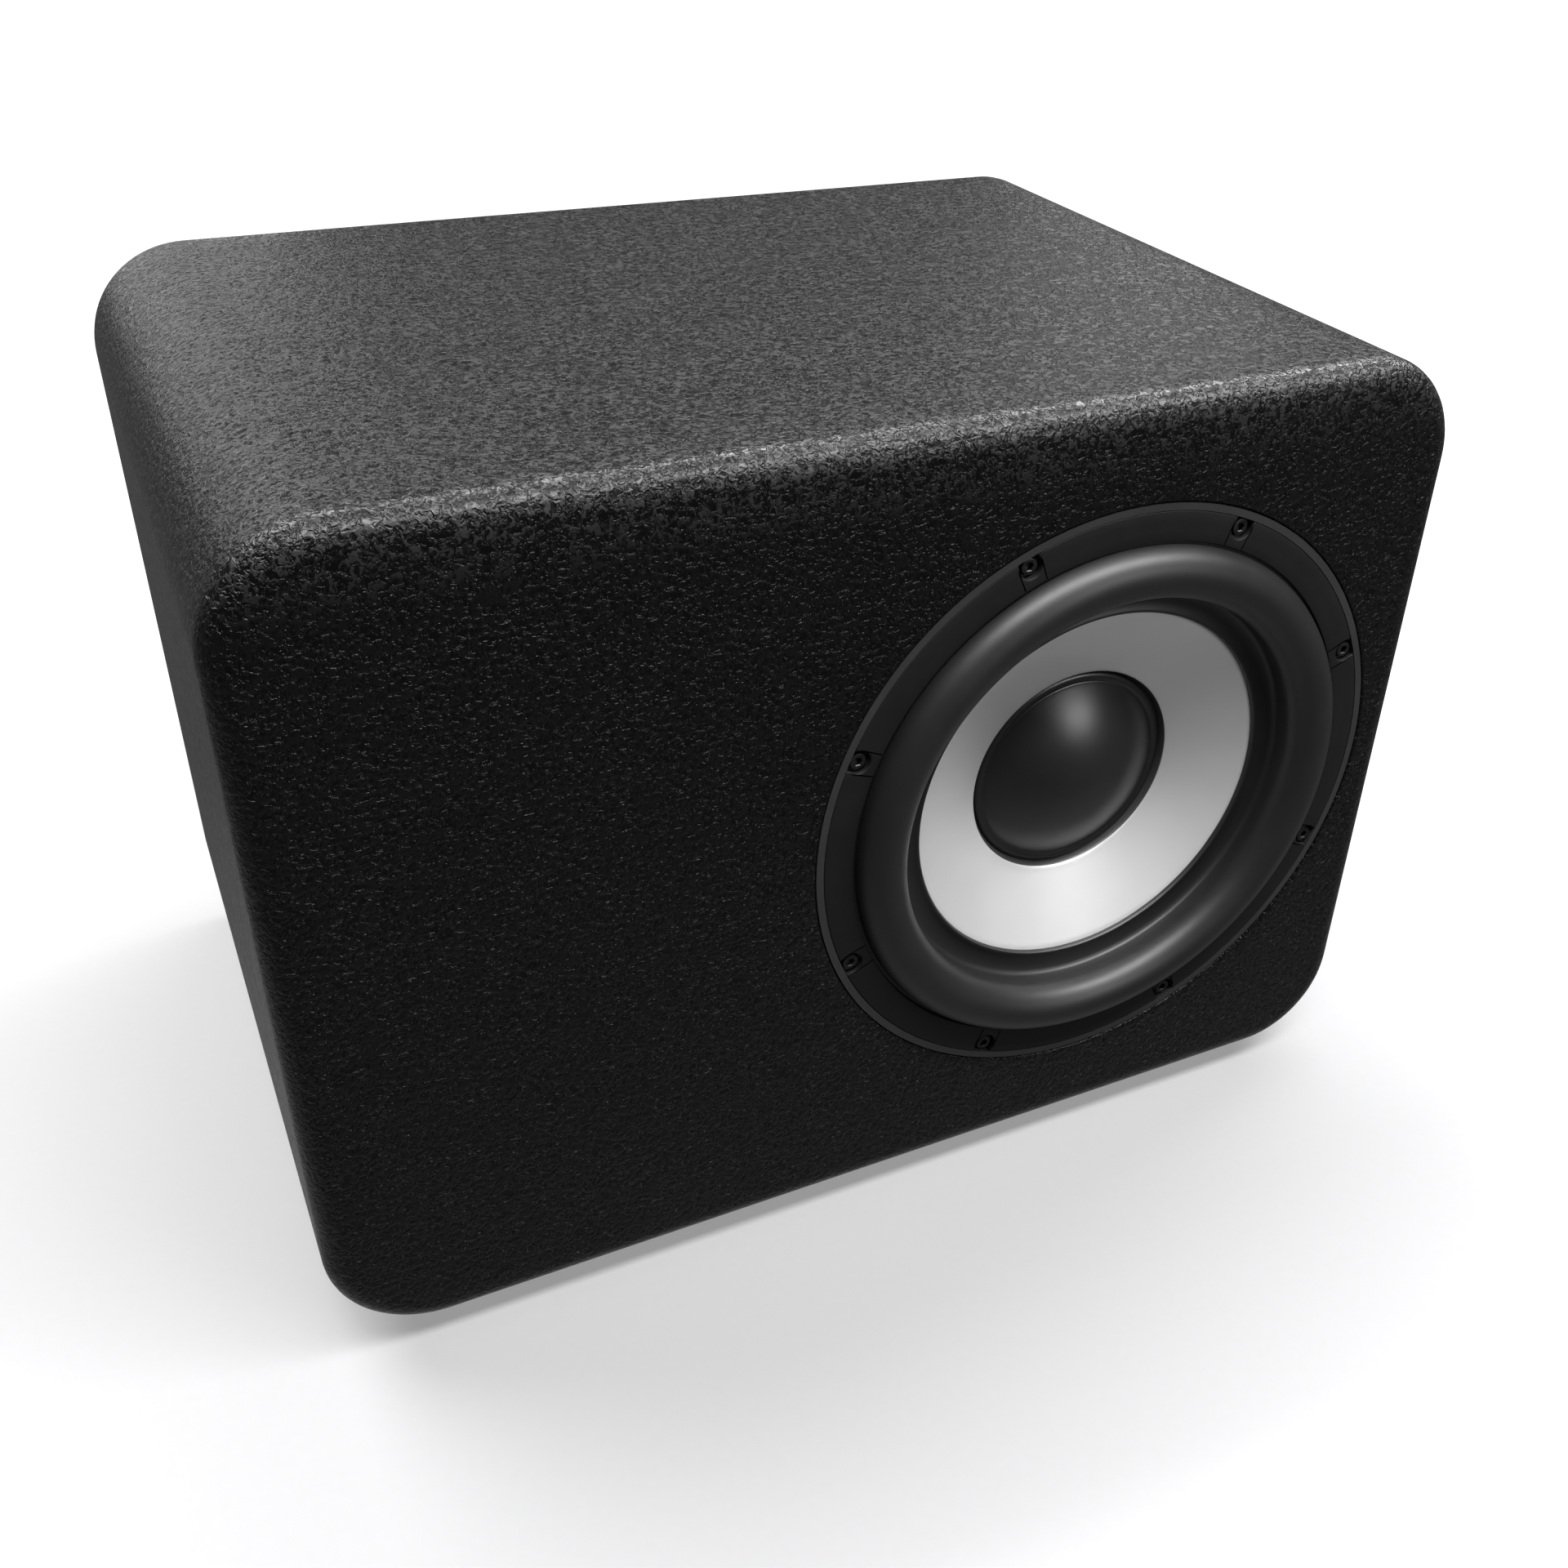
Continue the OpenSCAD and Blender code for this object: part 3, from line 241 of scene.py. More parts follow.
softbox("box_overhead", (-0.12, 0.45, 1.25), (1.6, 0.15, 0.80), 0.12, 28)
softbox("window_behind", (-1.0, 2.0, 0.3), (0.1, 2.0, 0.3), 0.4, 1.8)
softbox("window_at_the_right", (1.25, 1.8, 0.7), (1.6, 1.55, 0.7), 0.5, 0.8)
softbox("box_in_front", (0.55, -1.7, 0.68), (1.15, -1.6, 0.68), 0.5, 7)
softbox("box_over_the_front", (-0.6, -0.75, 1.6), (1.7, -0.75, 1.6), 0.4, 64)
sky = bpy.data.lights.new("sky_glow", "SUN")
sky.energy, sky.angle = 4.2, math.radians(36)
sky_lamp = bpy.data.objects.new("sky_glow", sky)
sky_lamp.rotation_euler = Vector((-0.35, 0.55, 1.0)).to_track_quat("Z", "Y").to_euler()
bpy.context.scene.collection.objects.link(sky_lamp)

# ---- Sprayed coating ----
# The whole cabinet is sprayed with black polyurea, which sets to a coarse pebbled skin 2 mm
# thick. It runs over the rounded edges and stops at the driver's recess and the amplifier's
# plate. The crests of its upper face are painted lighter, as painted glints of light.

coat_t = 2 * mm
corner_r = 43.5 * mm
edge_r = 11 * mm
recess_r = 130.5 * mm
plate_gap = 0.5 * mm
plate_corner_r = 6.5 * mm
lip_r = 0.9 * mm
outline_count = 640
opening_count = 2000
pebble_relief = 0.36 * mm
glint_paint_fades = 30 * mm
glint_paint_full = 6 * mm


def rounded_outline(width, height, radius, count):
    """Points and outward directions round a rounded rectangle, evenly spaced by length: four
    straight sides joined by quarter circles, as (count, 2) arrays about its middle."""
    half = np.array([width / 2 - radius, height / 2 - radius])
    turn = np.radians(np.linspace(0, 90, 40))
    arcs = []
    for quarter, (sx, sz) in enumerate(((1, 1), (-1, 1), (-1, -1), (1, -1))):
        angle = turn + quarter * math.pi / 2
        normal = np.stack([np.cos(angle), np.sin(angle)], 1)
        arcs.append(np.hstack([np.array([sx, sz]) * half + radius * normal, normal]))
    loop = np.vstack(arcs + [arcs[0][:1]])
    length = np.concatenate([[0], np.cumsum(np.linalg.norm(np.diff(loop[:, :2], axis=0), axis=1))])
    at = np.linspace(0, length[-1], count, endpoint=False)
    even = np.stack([np.interp(at, length, loop[:, k]) for k in range(4)], 1)
    return even[:, :2], even[:, 2:] / np.linalg.norm(even[:, 2:], axis=1)[:, None]


def quads(rows, columns, wrap_rows, wrap_columns):
    """Indices of the quads between neighbours of a grid of points, round its ends if it wraps."""
    i, j = np.meshgrid(np.arange(rows - (not wrap_rows)), np.arange(columns - (not wrap_columns)),
        indexing="ij")
    i2, j2 = (i + 1) % rows, (j + 1) % columns
    corners = [i * columns + j, i2 * columns + j, i2 * columns + j2, i * columns + j2]
    return np.stack(corners, -1).reshape(-1, 4)


def add_surface(name, grids, wrap=(True, True), sharp=35):
    """Object from closed grids of points. Each grid's faces are turned outwards by the sign of
    its volume, which is the sum over the faces of the corner points' triple products. Poles are
    merged, and edges that bend more than the sharp angle in degrees stay crisp."""
    points, faces, first = [], [], 0
    for grid in grids:
        rows, columns = grid.shape[:2]
        flat = grid.reshape(-1, 3)
        ring = quads(rows, columns, *wrap)
        a, b, c, d = (flat[ring[:, k]] - flat.mean(0) for k in range(4))
        volume = (np.cross(a, b) * c).sum() + (np.cross(a, c) * d).sum()
        faces.append((ring if volume > 0 else ring[:, ::-1]) + first)
        points.append(flat)
        first += len(flat)
    piece = add_mesh(name, np.vstack(points), np.vstack(faces).tolist())
    shape = bmesh.new()
    shape.from_mesh(piece.data)
    bmesh.ops.remove_doubles(shape, verts=shape.verts, dist=1e-7)
    shape.to_mesh(piece.data)
    shape.free()
    piece.data.shade_smooth()
    piece.data.set_sharp_from_angle(angle=math.radians(sharp))
    return piece


def coating_grid():
    """One closed skin. A column starts at the driver's recess, runs straight out from the
    driver's axis over the front, round the front edge, along the cabinet, round the rear edge
    and in to the plate's opening, and comes back the same way a coating's thickness deeper."""
    width, height = cabinet_high.x - cabinet_low.x, cabinet_high.z - cabinet_low.z
    depth = rear_y - front_y
    flat, out = rounded_outline(width - 2 * edge_r, height - 2 * edge_r, corner_r - edge_r,
        outline_count)
    centre = np.array([(cabinet_low.x + cabinet_high.x) / 2, (cabinet_low.z + cabinet_high.z) / 2])
    flat = flat + centre
    axis = np.array([axis_x, axis_z])
    ray = (flat - axis) / np.linalg.norm(flat - axis, axis=1)[:, None]
    plate_low, plate_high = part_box("amp_plate")
    plate_mid = np.array([(plate_low.x + plate_high.x) / 2, (plate_low.z + plate_high.z) / 2])
    opening, _ = rounded_outline(plate_high.x - plate_low.x + 2 * plate_gap,
        plate_high.z - plate_low.z + 2 * plate_gap, plate_corner_r, opening_count)
    rear_ray = flat - plate_mid
    angle = np.arctan2(rear_ray[:, 1], rear_ray[:, 0])
    rear_ray /= np.linalg.norm(rear_ray, axis=1)[:, None]
    reach = np.interp(angle, *np.array(sorted(zip(np.arctan2(opening[:, 1], opening[:, 0]),
        np.linalg.norm(opening, axis=1)))).T, period=2 * math.pi)
    hole = axis + recess_r * ray
    window = plate_mid + reach[:, None] * rear_ray
    quarter = np.radians(np.linspace(0, 90, 9))
    lip = np.radians(np.linspace(0, 90, 4))
    rows = [(hole, coat_t)]
    rows += [(hole + lip_r * (1 - math.cos(a)) * ray, lip_r * (1 - math.sin(a))) for a in lip]
    start = hole + lip_r * ray
    rows += [(start + t * (flat - start), 0) for t in np.linspace(0, 1, 14)[1:-1]]
    rows += [(flat + edge_r * math.sin(a) * out, edge_r * (1 - math.cos(a))) for a in quarter]
    rows += [(flat + edge_r * out, edge_r + t * (depth - 2 * edge_r))
        for t in np.linspace(0, 1, 18)[1:-1]]
    rows += [(flat + edge_r * math.cos(a) * out, depth - edge_r * (1 - math.sin(a)))
        for a in quarter]
    end = window + lip_r * rear_ray
    rows += [(flat + t * (end - flat), depth) for t in np.linspace(0, 1, 8)[1:]]
    rows += [(window + lip_r * (1 - math.sin(a)) * rear_ray, depth - lip_r * (1 - math.cos(a)))
        for a in lip[1:]]
    rows += [(window, depth - coat_t)]
    inner_r = edge_r - coat_t
    rows += [(flat + inner_r * math.cos(a) * out, depth - coat_t - inner_r * (1 - math.sin(a)))
        for a in quarter[::-2]]
    rows += [(flat + inner_r * math.sin(a) * out, coat_t + inner_r * (1 - math.cos(a)))
        for a in quarter[::-2]]
    return np.stack([np.insert(xz, 1, front_y + y, axis=1) for xz, y in rows], 1)


coating = add_surface("coating_skin", [coating_grid()])
coat_look = Finish("sprayed_coating")
pebbles = coat_look.noise(2.4 * mm, detail=2.5, rough=0.55, distortion=0.9)
worms = coat_look.ramp(pebbles, (0.40, 0.0), (0.50, 0.75), (0.62, 1.0))
grit = coat_look.noise(0.9 * mm, detail=2, rough=0.6)
patches = coat_look.noise(38 * mm, detail=2)
crests = coat_look.ramp(pebbles, (0.52, 0.0), (0.60, 1.0))
# Painted highlight: pebble crests are painted lighter towards the top of the cabinet, standing in
# for glints.
crest_glint_paint = coat_look.ramp(coat_look.along(2),
    (cabinet_high.z - glint_paint_fades, 0.1), (cabinet_high.z - glint_paint_full, 1.0))
coat_look.surface(
    coat_look.mix(crests * crest_glint_paint, (0.0024, 0.0024, 0.0026), (0.036, 0.036, 0.037)),
    0.25 - 0.05 * worms + 0.05 * patches,
    worms + 0.25 * grit, pebble_relief, Specular_IOR_Level=0.26)
coating.data.materials.append(coat_look.owner)
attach(coating, "cabinet")
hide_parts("coating")

# ---- Driver: surround ----
# The surround is one half roll moulded from butyl rubber. Its outer lip is glued to the
# flange under the trim ring and its inner lip to the cone's rim, and it stretches over the
# roll when the cone moves.

front_point = Vector((axis_x, front_y, axis_z))
driver_basis = np.array([[1, 0, 0], [0, 0, 1], [0, 1, 0]], float)
roll_out_r = 113.2 * mm
roll_in_r = 91.8 * mm
roll_depth = 2 * mm
lip_out_r = 119 * mm
lip_seat = 3.5 * mm
cone_r = 80.5 * mm
lip_depth = 10.2 * mm
rubber_t = 1.5 * mm
ring_count = 288


def turned(profile, origin, basis, count, ripple=None):
    """Grid of a turned shape: the profile's (radius, depth) points carried round the third row
    of the basis through the origin. A ripple is a share added to the radius at each angle."""
    angle = np.linspace(0, 2 * math.pi, count, endpoint=False)
    swell = 1 if ripple is None else 1 + ripple(angle)
    across = np.stack([np.cos(angle) * swell, np.sin(angle) * swell], 1) @ basis[:2]
    profile = np.asarray(profile, float)
    return (np.array(origin) + profile[None, :, :1] * across[:, None]
        + profile[None, :, 1:] * basis[2])


def arc(middle, radius, start, end, steps):
    """Points of an arc about (radius, depth) from the start angle to the end angle, in degrees."""
    angle = np.radians(np.linspace(start, end, steps))
    return [(middle[0] + radius * math.cos(a), middle[1] - radius * math.sin(a)) for a in angle]


def stretch_with_cone(piece):
    """Bakes the piece's placement into its mesh, so that the piece sits at the origin."""
    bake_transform(piece)


roll_mid = ((roll_out_r + roll_in_r) / 2, roll_depth)
roll_r = (roll_out_r - roll_in_r) / 2
seam = 0.35 * mm
roll_profile = [(lip_out_r, lip_seat), (lip_out_r, lip_seat - rubber_t),
    (roll_out_r + 0.5 * mm, lip_seat - rubber_t), *arc(roll_mid, roll_r, 0, 180, 41),
    (roll_in_r, lip_depth - 2.2 * mm), (roll_in_r - 0.5 * mm, lip_depth - 0.9 * mm),
    (roll_in_r - 1.8 * mm, lip_depth), (cone_r + 2.2 * mm, lip_depth),
    (cone_r + 1.8 * mm, lip_depth - seam), (cone_r + 0.6 * mm, lip_depth - seam),
    (cone_r, lip_depth + 0.5 * mm), (cone_r, lip_depth + rubber_t),
    (roll_in_r + rubber_t, lip_depth + rubber_t), *arc(roll_mid, roll_r - rubber_t, 180, 0, 31),
    (roll_out_r - rubber_t, lip_seat)]
surround = add_surface("surround_roll",
    [turned(roll_profile, front_point, driver_basis, ring_count)], sharp=50)
surround_look = Finish("surround_rubber")
bloom = surround_look.noise(24 * mm, detail=4, rough=0.6)
skin = surround_look.noise(0.35 * mm, detail=1)
surround_look.surface(surround_look.mix(bloom, (0.006, 0.006, 0.0062), (0.011, 0.011, 0.0112)),
    0.38 + 0.10 * bloom + 0.05 * skin,
    skin, 0.03 * mm, Specular_IOR_Level=0.7)
surround.data.materials.append(surround_look.owner)
stretch_with_cone(surround)
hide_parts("surround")

# ---- Driver: cone ----
# The cone is a shallow dish pressed from aluminium and anodised to a satin silver, glued
# to the surround at its rim and to the coil former at its neck. Round the dust cap it
# steps down a few millimetres, and the floor of that recess is painted dark grey as shade.

cone_angle = math.radians(24)
cone_front = lip_depth + rubber_t
cone_t = 1 * mm
former_r = 25.4 * mm


def cone_depth(radius):
    """Depth of the cone's front face at that radius: a straight slope in from its rim."""
    return cone_front + (cone_r - radius) * math.tan(cone_angle)


cap_r = 46 * mm
step_depth = 3.2 * mm
step_r = cap_r + 1.4 * mm
neck = (former_r, cone_depth(former_r))
cone_back = cone_t / math.cos(cone_angle)
cap_seat = cone_depth(cap_r)
step = [(cap_r - 0.2 * mm, cap_seat + step_depth), (cap_r + 0.1 * mm, cap_seat + 2.2 * mm),
    (cap_r + 0.6 * mm, cap_seat + 0.6 * mm), (cap_r + mm, cap_seat - 0.2 * mm),
    (step_r, cone_depth(step_r))]
dish = [(r, cone_depth(r)) for r in np.linspace(step_r + mm, cone_r - 0.4 * mm, 18)]
cone_profile = [neck, *step, *dish, (cone_r + 0.8 * mm, cone_front),
    (roll_in_r, cone_front), (roll_in_r, cone_front + cone_t),
    *[(r, depth + cone_back) for r, depth in dish[-2::-4]],
    *[(r + 0.6 * mm, depth + cone_back) for r, depth in step[::-2]],
    (neck[0], neck[1] + cone_back)]
cone = add_surface("cone_dish", [turned(cone_profile, front_point, driver_basis, ring_count)])
cone_look = Finish("anodised_cone")
turning = cone_look.node("VectorMath", {"operation": "LENGTH"},
    {0: cone_look.place(front_point, (1, 0, 1))}, out=1)
lathe = cone_look.node("TexNoise", {"noise_dimensions": "1D"},
    {"W": turning, "Scale": 1 / (0.5 * mm), "Detail": 3, "Roughness": 0.7})
frost = cone_look.noise(0.25 * mm, detail=2)
haze = cone_look.noise(30 * mm, detail=3)
silver = cone_look.mix(haze, (0.79, 0.79, 0.80), (0.86, 0.86, 0.865))
# Painted shade: inside the step's radius the cone is painted dark grey, standing in for shade in
# the recess.
recess_painted_shade = cone_look.node("Math", {"operation": "LESS_THAN"}, {0: turning, 1: step_r - 0.3 * mm})
cone_look.surface(cone_look.mix(recess_painted_shade, silver, (0.09, 0.09, 0.092)),
    0.36 + 0.08 * lathe + 0.08 * haze, lathe * 0.5 + frost, 0.012 * mm, Metallic=0.5)
cone.data.materials.append(cone_look.owner)
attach(cone, "cone_assembly")
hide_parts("cone")

# ---- Driver: dust cap ----
# A domed cap moulded from satin rubber covers the coil. A fine groove runs round it near
# its rim, and the rim is glued into the cone's recess.

cap_rise = 15 * mm
rim_depth = cap_seat + 1.4 * mm
dome_r = cap_r - 5 * mm
cap_t = 1.2 * mm
dome_in_r = dome_r - 0.6 * mm


def dome(radius, edge_r):
    """Depth of the dome below its rim's plane: a parabola that is flat at the crown."""
    return rim_depth - cap_rise * (1 - (radius / edge_r) ** 2)


cap_profile = [*[(r, dome(r, dome_r)) for r in np.linspace(0, dome_r - 0.5 * mm, 32)],
    (dome_r - 0.1 * mm, rim_depth - 0.05 * mm), (dome_r + 0.3 * mm, rim_depth + 0.35 * mm),
    (dome_r + 0.8 * mm, rim_depth + 0.4 * mm), (dome_r + 1.2 * mm, rim_depth + 0.2 * mm),
    (dome_r + 1.8 * mm, rim_depth), (dome_r + 3 * mm, rim_depth + 0.1 * mm),
    (cap_r - 1.2 * mm, rim_depth + 0.5 * mm), (cap_r - 0.7 * mm, rim_depth + mm),
    (cap_r - 0.6 * mm, rim_depth + 1.9 * mm), (cap_r - 1.6 * mm, rim_depth + 2 * mm),
    *[(r, dome(r, dome_in_r) + cap_t) for r in np.linspace(dome_in_r, 0, 16)]]
cap = add_surface("dust_cap_dome", [turned(cap_profile, front_point, driver_basis, 192)],
    wrap=(True, False), sharp=60)
cap_look = Finish("cap_rubber")
bloom = cap_look.noise(18 * mm, detail=4, rough=0.6)
skin = cap_look.noise(0.3 * mm, detail=1)
cap_look.surface(cap_look.mix(bloom, (0.008, 0.008, 0.009), (0.014, 0.014, 0.015)),
    0.28 + 0.08 * bloom + 0.04 * skin,
    skin, 0.02 * mm, Specular_IOR_Level=0.85)
cap.data.materials.append(cap_look.owner)
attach(cap, "cone_assembly")
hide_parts("dust_cap")

# ---- Driver: trim ring ----
# A soft moulded ring covers the flange and the surround's lip. It is open to the outside
# in a round-ended notch at each of the eight screws.

trim_in_r = 114.4 * mm
trim_out_r = 126.8 * mm
screw_circle_r = 123 * mm
notch_r = 4.8 * mm
notch_wall = 4.4 * mm
screw_count = 8
trim_front = 0.5 * mm
trim_round = 0.5 * mm


def notched_outline(shrink):
    """Outline of the ring's outer edge moved in by that much: an arc, then a wall into each
    notch, half a turn round its screw and a wall out. Points are (count, 2) about the axis."""
    out_r, round_r, wall = trim_out_r - shrink, notch_r + shrink, notch_wall + shrink
    pitch = 2 * math.pi / screw_count
    mouth = math.asin(wall / out_r)
    tuck = math.asin(wall / round_r)
    bare = np.linspace(mouth - pitch / 2, pitch / 2 - mouth, 30) + pitch / 2
    swing = np.linspace(0, 1, 22)
    turn = math.pi + (1 - 2 * swing) * (math.pi - tuck)
    notch = np.stack([screw_circle_r + round_r * np.cos(turn), round_r * np.sin(turn)], 1)
    arcs = []
    for k in range(screw_count):
        angle = (k + 0.5) * pitch
        cs, sn = math.cos(angle), math.sin(angle)
        arcs.append(notch @ np.array([[cs, sn], [-sn, cs]]))
        arcs.append(out_r * np.stack([np.cos(angle + bare), np.sin(angle + bare)], 1))
    return np.vstack(arcs)


def trim_grid():
    """Closed ring: the profile runs up the inner edge, over a small round, across the face to
    the notched outline, over its round and down to the flange and back over the lip."""
    edge = notched_outline(0)
    face = notched_outline(trim_round)
    spoke = face / np.linalg.norm(face, axis=1)[:, None]
    reach = np.minimum(np.linalg.norm(edge, axis=1), lip_out_r)[:, None]
    loop = [(spoke * trim_in_r, lip_seat - rubber_t), (spoke * trim_in_r, trim_front + trim_round)]
    loop += [(spoke * (trim_in_r + trim_round * (1 - math.cos(a))),
        trim_front + trim_round * (1 - math.sin(a))) for a in np.radians((30, 60, 90))]
    inner = loop[-1][0]
    loop += [(inner + t * (face - inner), trim_front) for t in (0.33, 0.67, 1.0)]
    loop += [(notched_outline(trim_round * (1 - math.sin(a))),
        trim_front + trim_round * (1 - math.cos(a))) for a in np.radians((30, 60, 90))]
    loop += [(edge, lip_seat), (spoke * reach, lip_seat), (spoke * reach, lip_seat - rubber_t)]
    return np.stack([np.stack([front_point.x + p[:, 0], np.full(len(p), front_point.y + y),
        front_point.z + p[:, 1]], 1) for p, y in loop], 1)


trim = add_surface("trim_ring", [trim_grid()], sharp=50)
trim_look = Finish("gasket_rubber")
bloom = trim_look.noise(16 * mm, detail=4, rough=0.6)
skin = trim_look.noise(0.5 * mm, detail=2)
trim_look.surface(trim_look.mix(bloom, (0.006, 0.006, 0.0062), (0.011, 0.011, 0.0115)),
    0.52 + 0.12 * bloom, skin, 0.05 * mm, Specular_IOR_Level=0.25)
trim.data.materials.append(trim_look.owner)
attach(trim, "cabinet")
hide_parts("trim_gasket")

# ---- Driver: screws ----
# Eight M4 cap screws with hex sockets, blackened steel, hold the flange to brass inserts
# in the baffle.

head_r = 3.5 * mm
head_h = 3 * mm
head_top = lip_seat + mm - head_h
shank_r = 2 * mm
shank_end = 18.5 * mm
socket_r = 1.75 * mm
socket_depth = 2 * mm
knurl_count = 24


def screw_grid(x, z):
    """Cap screw along the depth: a point, the shank, the head with its knurled side, a rounded
    edge, and a socket whose radius follows a hexagon, down to the socket's cone."""
    count = 96
    angle = np.linspace(0, 2 * math.pi, count, endpoint=False)
    hexagon = math.cos(math.pi / 6) / np.cos((angle % (math.pi / 3)) - math.pi / 6)
    knurl = 1 - 0.025 * (0.5 + 0.5 * np.cos(knurl_count * angle))
    plain = np.ones(count)
    rows = [(plain, 0, shank_end), (plain, shank_r - 0.6 * mm, shank_end),
        (plain, shank_r, shank_end - 0.6 * mm), (plain, shank_r, head_top + head_h),
        (plain, head_r - 0.2 * mm, head_top + head_h),
        (knurl, head_r, head_top + head_h - 0.3 * mm),
        (knurl, head_r, head_top + 0.8 * mm), (plain, head_r - 0.1 * mm, head_top + 0.5 * mm),
        (plain, head_r - 0.25 * mm, head_top + 0.15 * mm), (plain, head_r - 0.6 * mm, head_top),
        (hexagon, socket_r + 0.25 * mm, head_top), (hexagon, socket_r, head_top + 0.25 * mm),
        (hexagon, socket_r, head_top + socket_depth),
        (plain, 0, head_top + socket_depth + 0.5 * mm)]
    ring = np.stack([np.cos(angle), np.sin(angle)], 1)
    return np.stack([np.stack([front_point.x + x + r * shape * ring[:, 0],
        np.full(count, front_point.y + y), front_point.z + z + r * shape * ring[:, 1]], 1)
        for shape, r, y in rows], 1)


screw_turns = [(k + 0.5) * 2 * math.pi / screw_count for k in range(screw_count)]
screws = add_surface("cap_screws", [screw_grid(screw_circle_r * math.cos(a),
    screw_circle_r * math.sin(a)) for a in screw_turns], wrap=(True, False), sharp=30)
screw_look = Finish("black_oxide_steel")
stain = screw_look.noise(2 * mm, detail=3)
screw_look.surface(screw_look.mix(stain, (0.030, 0.030, 0.032), (0.065, 0.063, 0.062)),
    0.30 + 0.20 * stain, screw_look.noise(0.2 * mm), 0.01 * mm, Metallic=0.85)
screws.data.materials.append(screw_look.owner)
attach(screws, "cabinet")
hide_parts("driver_screws")

# ---- Driver: basket ----
# The basket is one black-painted aluminium casting. Only the rim of its flange shows,
# as a thin ring between the trim and the cabinet.


def grained(name, dark, light, rough, grain, relief, patch=20 * mm, **constants):
    """Plain finish of one material: its colour drifts between two tones in wide patches and
    fine grain, its gloss drifts with the patches, and the grain stands up by the relief."""
    look = Finish(name)
    drift = look.noise(patch, detail=3)
    fine = look.noise(grain, detail=2, rough=0.6)
    look.surface(look.mix(0.6 * drift + 0.4 * fine, dark, light), rough + 0.16 * (drift - 0.5),
        fine, relief, **constants)
    return look.owner


def dress(material, *names):
    """Gives that material to CAD nodes."""
    for name in names:
        mesh = nodes[name].data
        mesh.materials.clear()
        mesh.materials.append(material)


dress(grained("cast_aluminium_black", (0.030, 0.030, 0.031), (0.050, 0.050, 0.052), 0.42,
    0.8 * mm, 0.04 * mm, Metallic=0.2), "basket")

# ---- Driver: coil, spider and motor ----
# Inside the basket: a copper coil on a polyimide former, a corrugated cloth disc, and a
# ferrite motor between zinc-plated steel plates with a rubber boot round it.

spider_depth = 50.5 * mm
spider_t = 0.8 * mm
spider_still_r = 68 * mm
spider_out_r = 78 * mm
spider_waves = 5
wave_h = 2 * mm

share = np.linspace(0, 1, 81)
wave_r = former_r + (spider_still_r - former_r) * share
wave_size = wave_h * np.minimum(1, np.minimum(8 * share, 8 * (1 - share)))
wave_d = spider_depth + wave_size * np.sin(2 * math.pi * spider_waves * share)
spider_profile = [*zip(wave_r, wave_d - spider_t / 2), (spider_out_r, spider_depth - spider_t / 2),
    (spider_out_r, spider_depth + spider_t / 2), *zip(wave_r[::-1], wave_d[::-1] + spider_t / 2)]
spider = add_surface("spider_disc", [turned(spider_profile, front_point, driver_basis, 144)])
spider_look = Finish("spider_cloth")
weave = [spider_look.node("TexWave", {"wave_type": "BANDS", "bands_direction": way},
    {"Vector": spider_look.place(), "Scale": 1 / (7 * mm), "Distortion": 0.6}) for way in "XZ"]
spider_look.surface(spider_look.mix(weave[0] * weave[1], (0.30, 0.17, 0.06), (0.52, 0.33, 0.14)),
    0.85, weave[0] + weave[1], 0.1 * mm)
spider.data.materials.append(spider_look.owner)
stretch_with_cone(spider)
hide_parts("spider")

coil_look = Finish("copper_winding")
turns = coil_look.node("TexWave", {"wave_type": "BANDS", "bands_direction": "Y"},
    {"Vector": coil_look.place(), "Scale": 1 / (2 * mm)})
coil_look.surface(coil_look.mix(turns, (0.42, 0.14, 0.05), (0.80, 0.36, 0.18)), 0.3 + 0.1 * turns,
    turns, 0.1 * mm, Metallic=0.9)
dress(coil_look.owner, "voice_coil")
dress(grained("former_polyimide", (0.42, 0.20, 0.04), (0.55, 0.29, 0.07), 0.35, mm, 0.01 * mm),
    "coil_former")
dress(grained("zinc_steel_motor", (0.42, 0.43, 0.44), (0.60, 0.60, 0.58), 0.36, 0.6 * mm,
    0.02 * mm, Metallic=1.0), "top_plate", "pole_yoke")
dress(grained("ferrite", (0.035, 0.034, 0.036), (0.07, 0.068, 0.07), 0.62, 1.2 * mm, 0.08 * mm),
    "magnet")
dress(grained("pure_aluminium", (0.70, 0.70, 0.71), (0.82, 0.82, 0.83), 0.34, mm, 0.01 * mm,
    Metallic=1.0), "shorting_ring")
dress(grained("boot_rubber", (0.014, 0.014, 0.015), (0.026, 0.026, 0.027), 0.62, 0.8 * mm,
    0.04 * mm), "magnet_boot")
dress(grained("phenolic_brown", (0.10, 0.055, 0.030), (0.16, 0.090, 0.050), 0.45, 1.5 * mm,
    0.02 * mm), "terminal_block")
dress(grained("brass", (0.62, 0.42, 0.16), (0.78, 0.56, 0.26), 0.32, 0.8 * mm, 0.01 * mm,
    Metallic=1.0), "threaded_inserts", "board_standoffs")
dress(grained("foam_seal", (0.020, 0.020, 0.020), (0.045, 0.045, 0.045), 0.9, 0.7 * mm,
    0.25 * mm), "flange_seal", "amp_seal")

# ---- Driver: tinsel leads ----
# Two braided leads carry the current from the terminal block to the coil, slack enough to
# follow the cone.

tinsel_r = 0.9 * mm
tinsel_gap = 8 * mm
tinsel_start_r = 43 * mm
block_r = 89 * mm
block_depth = 50.9 * mm
tinsel_route = [(50, 35), (60, 38), (70, 37), (80, 37), (88, 42)]


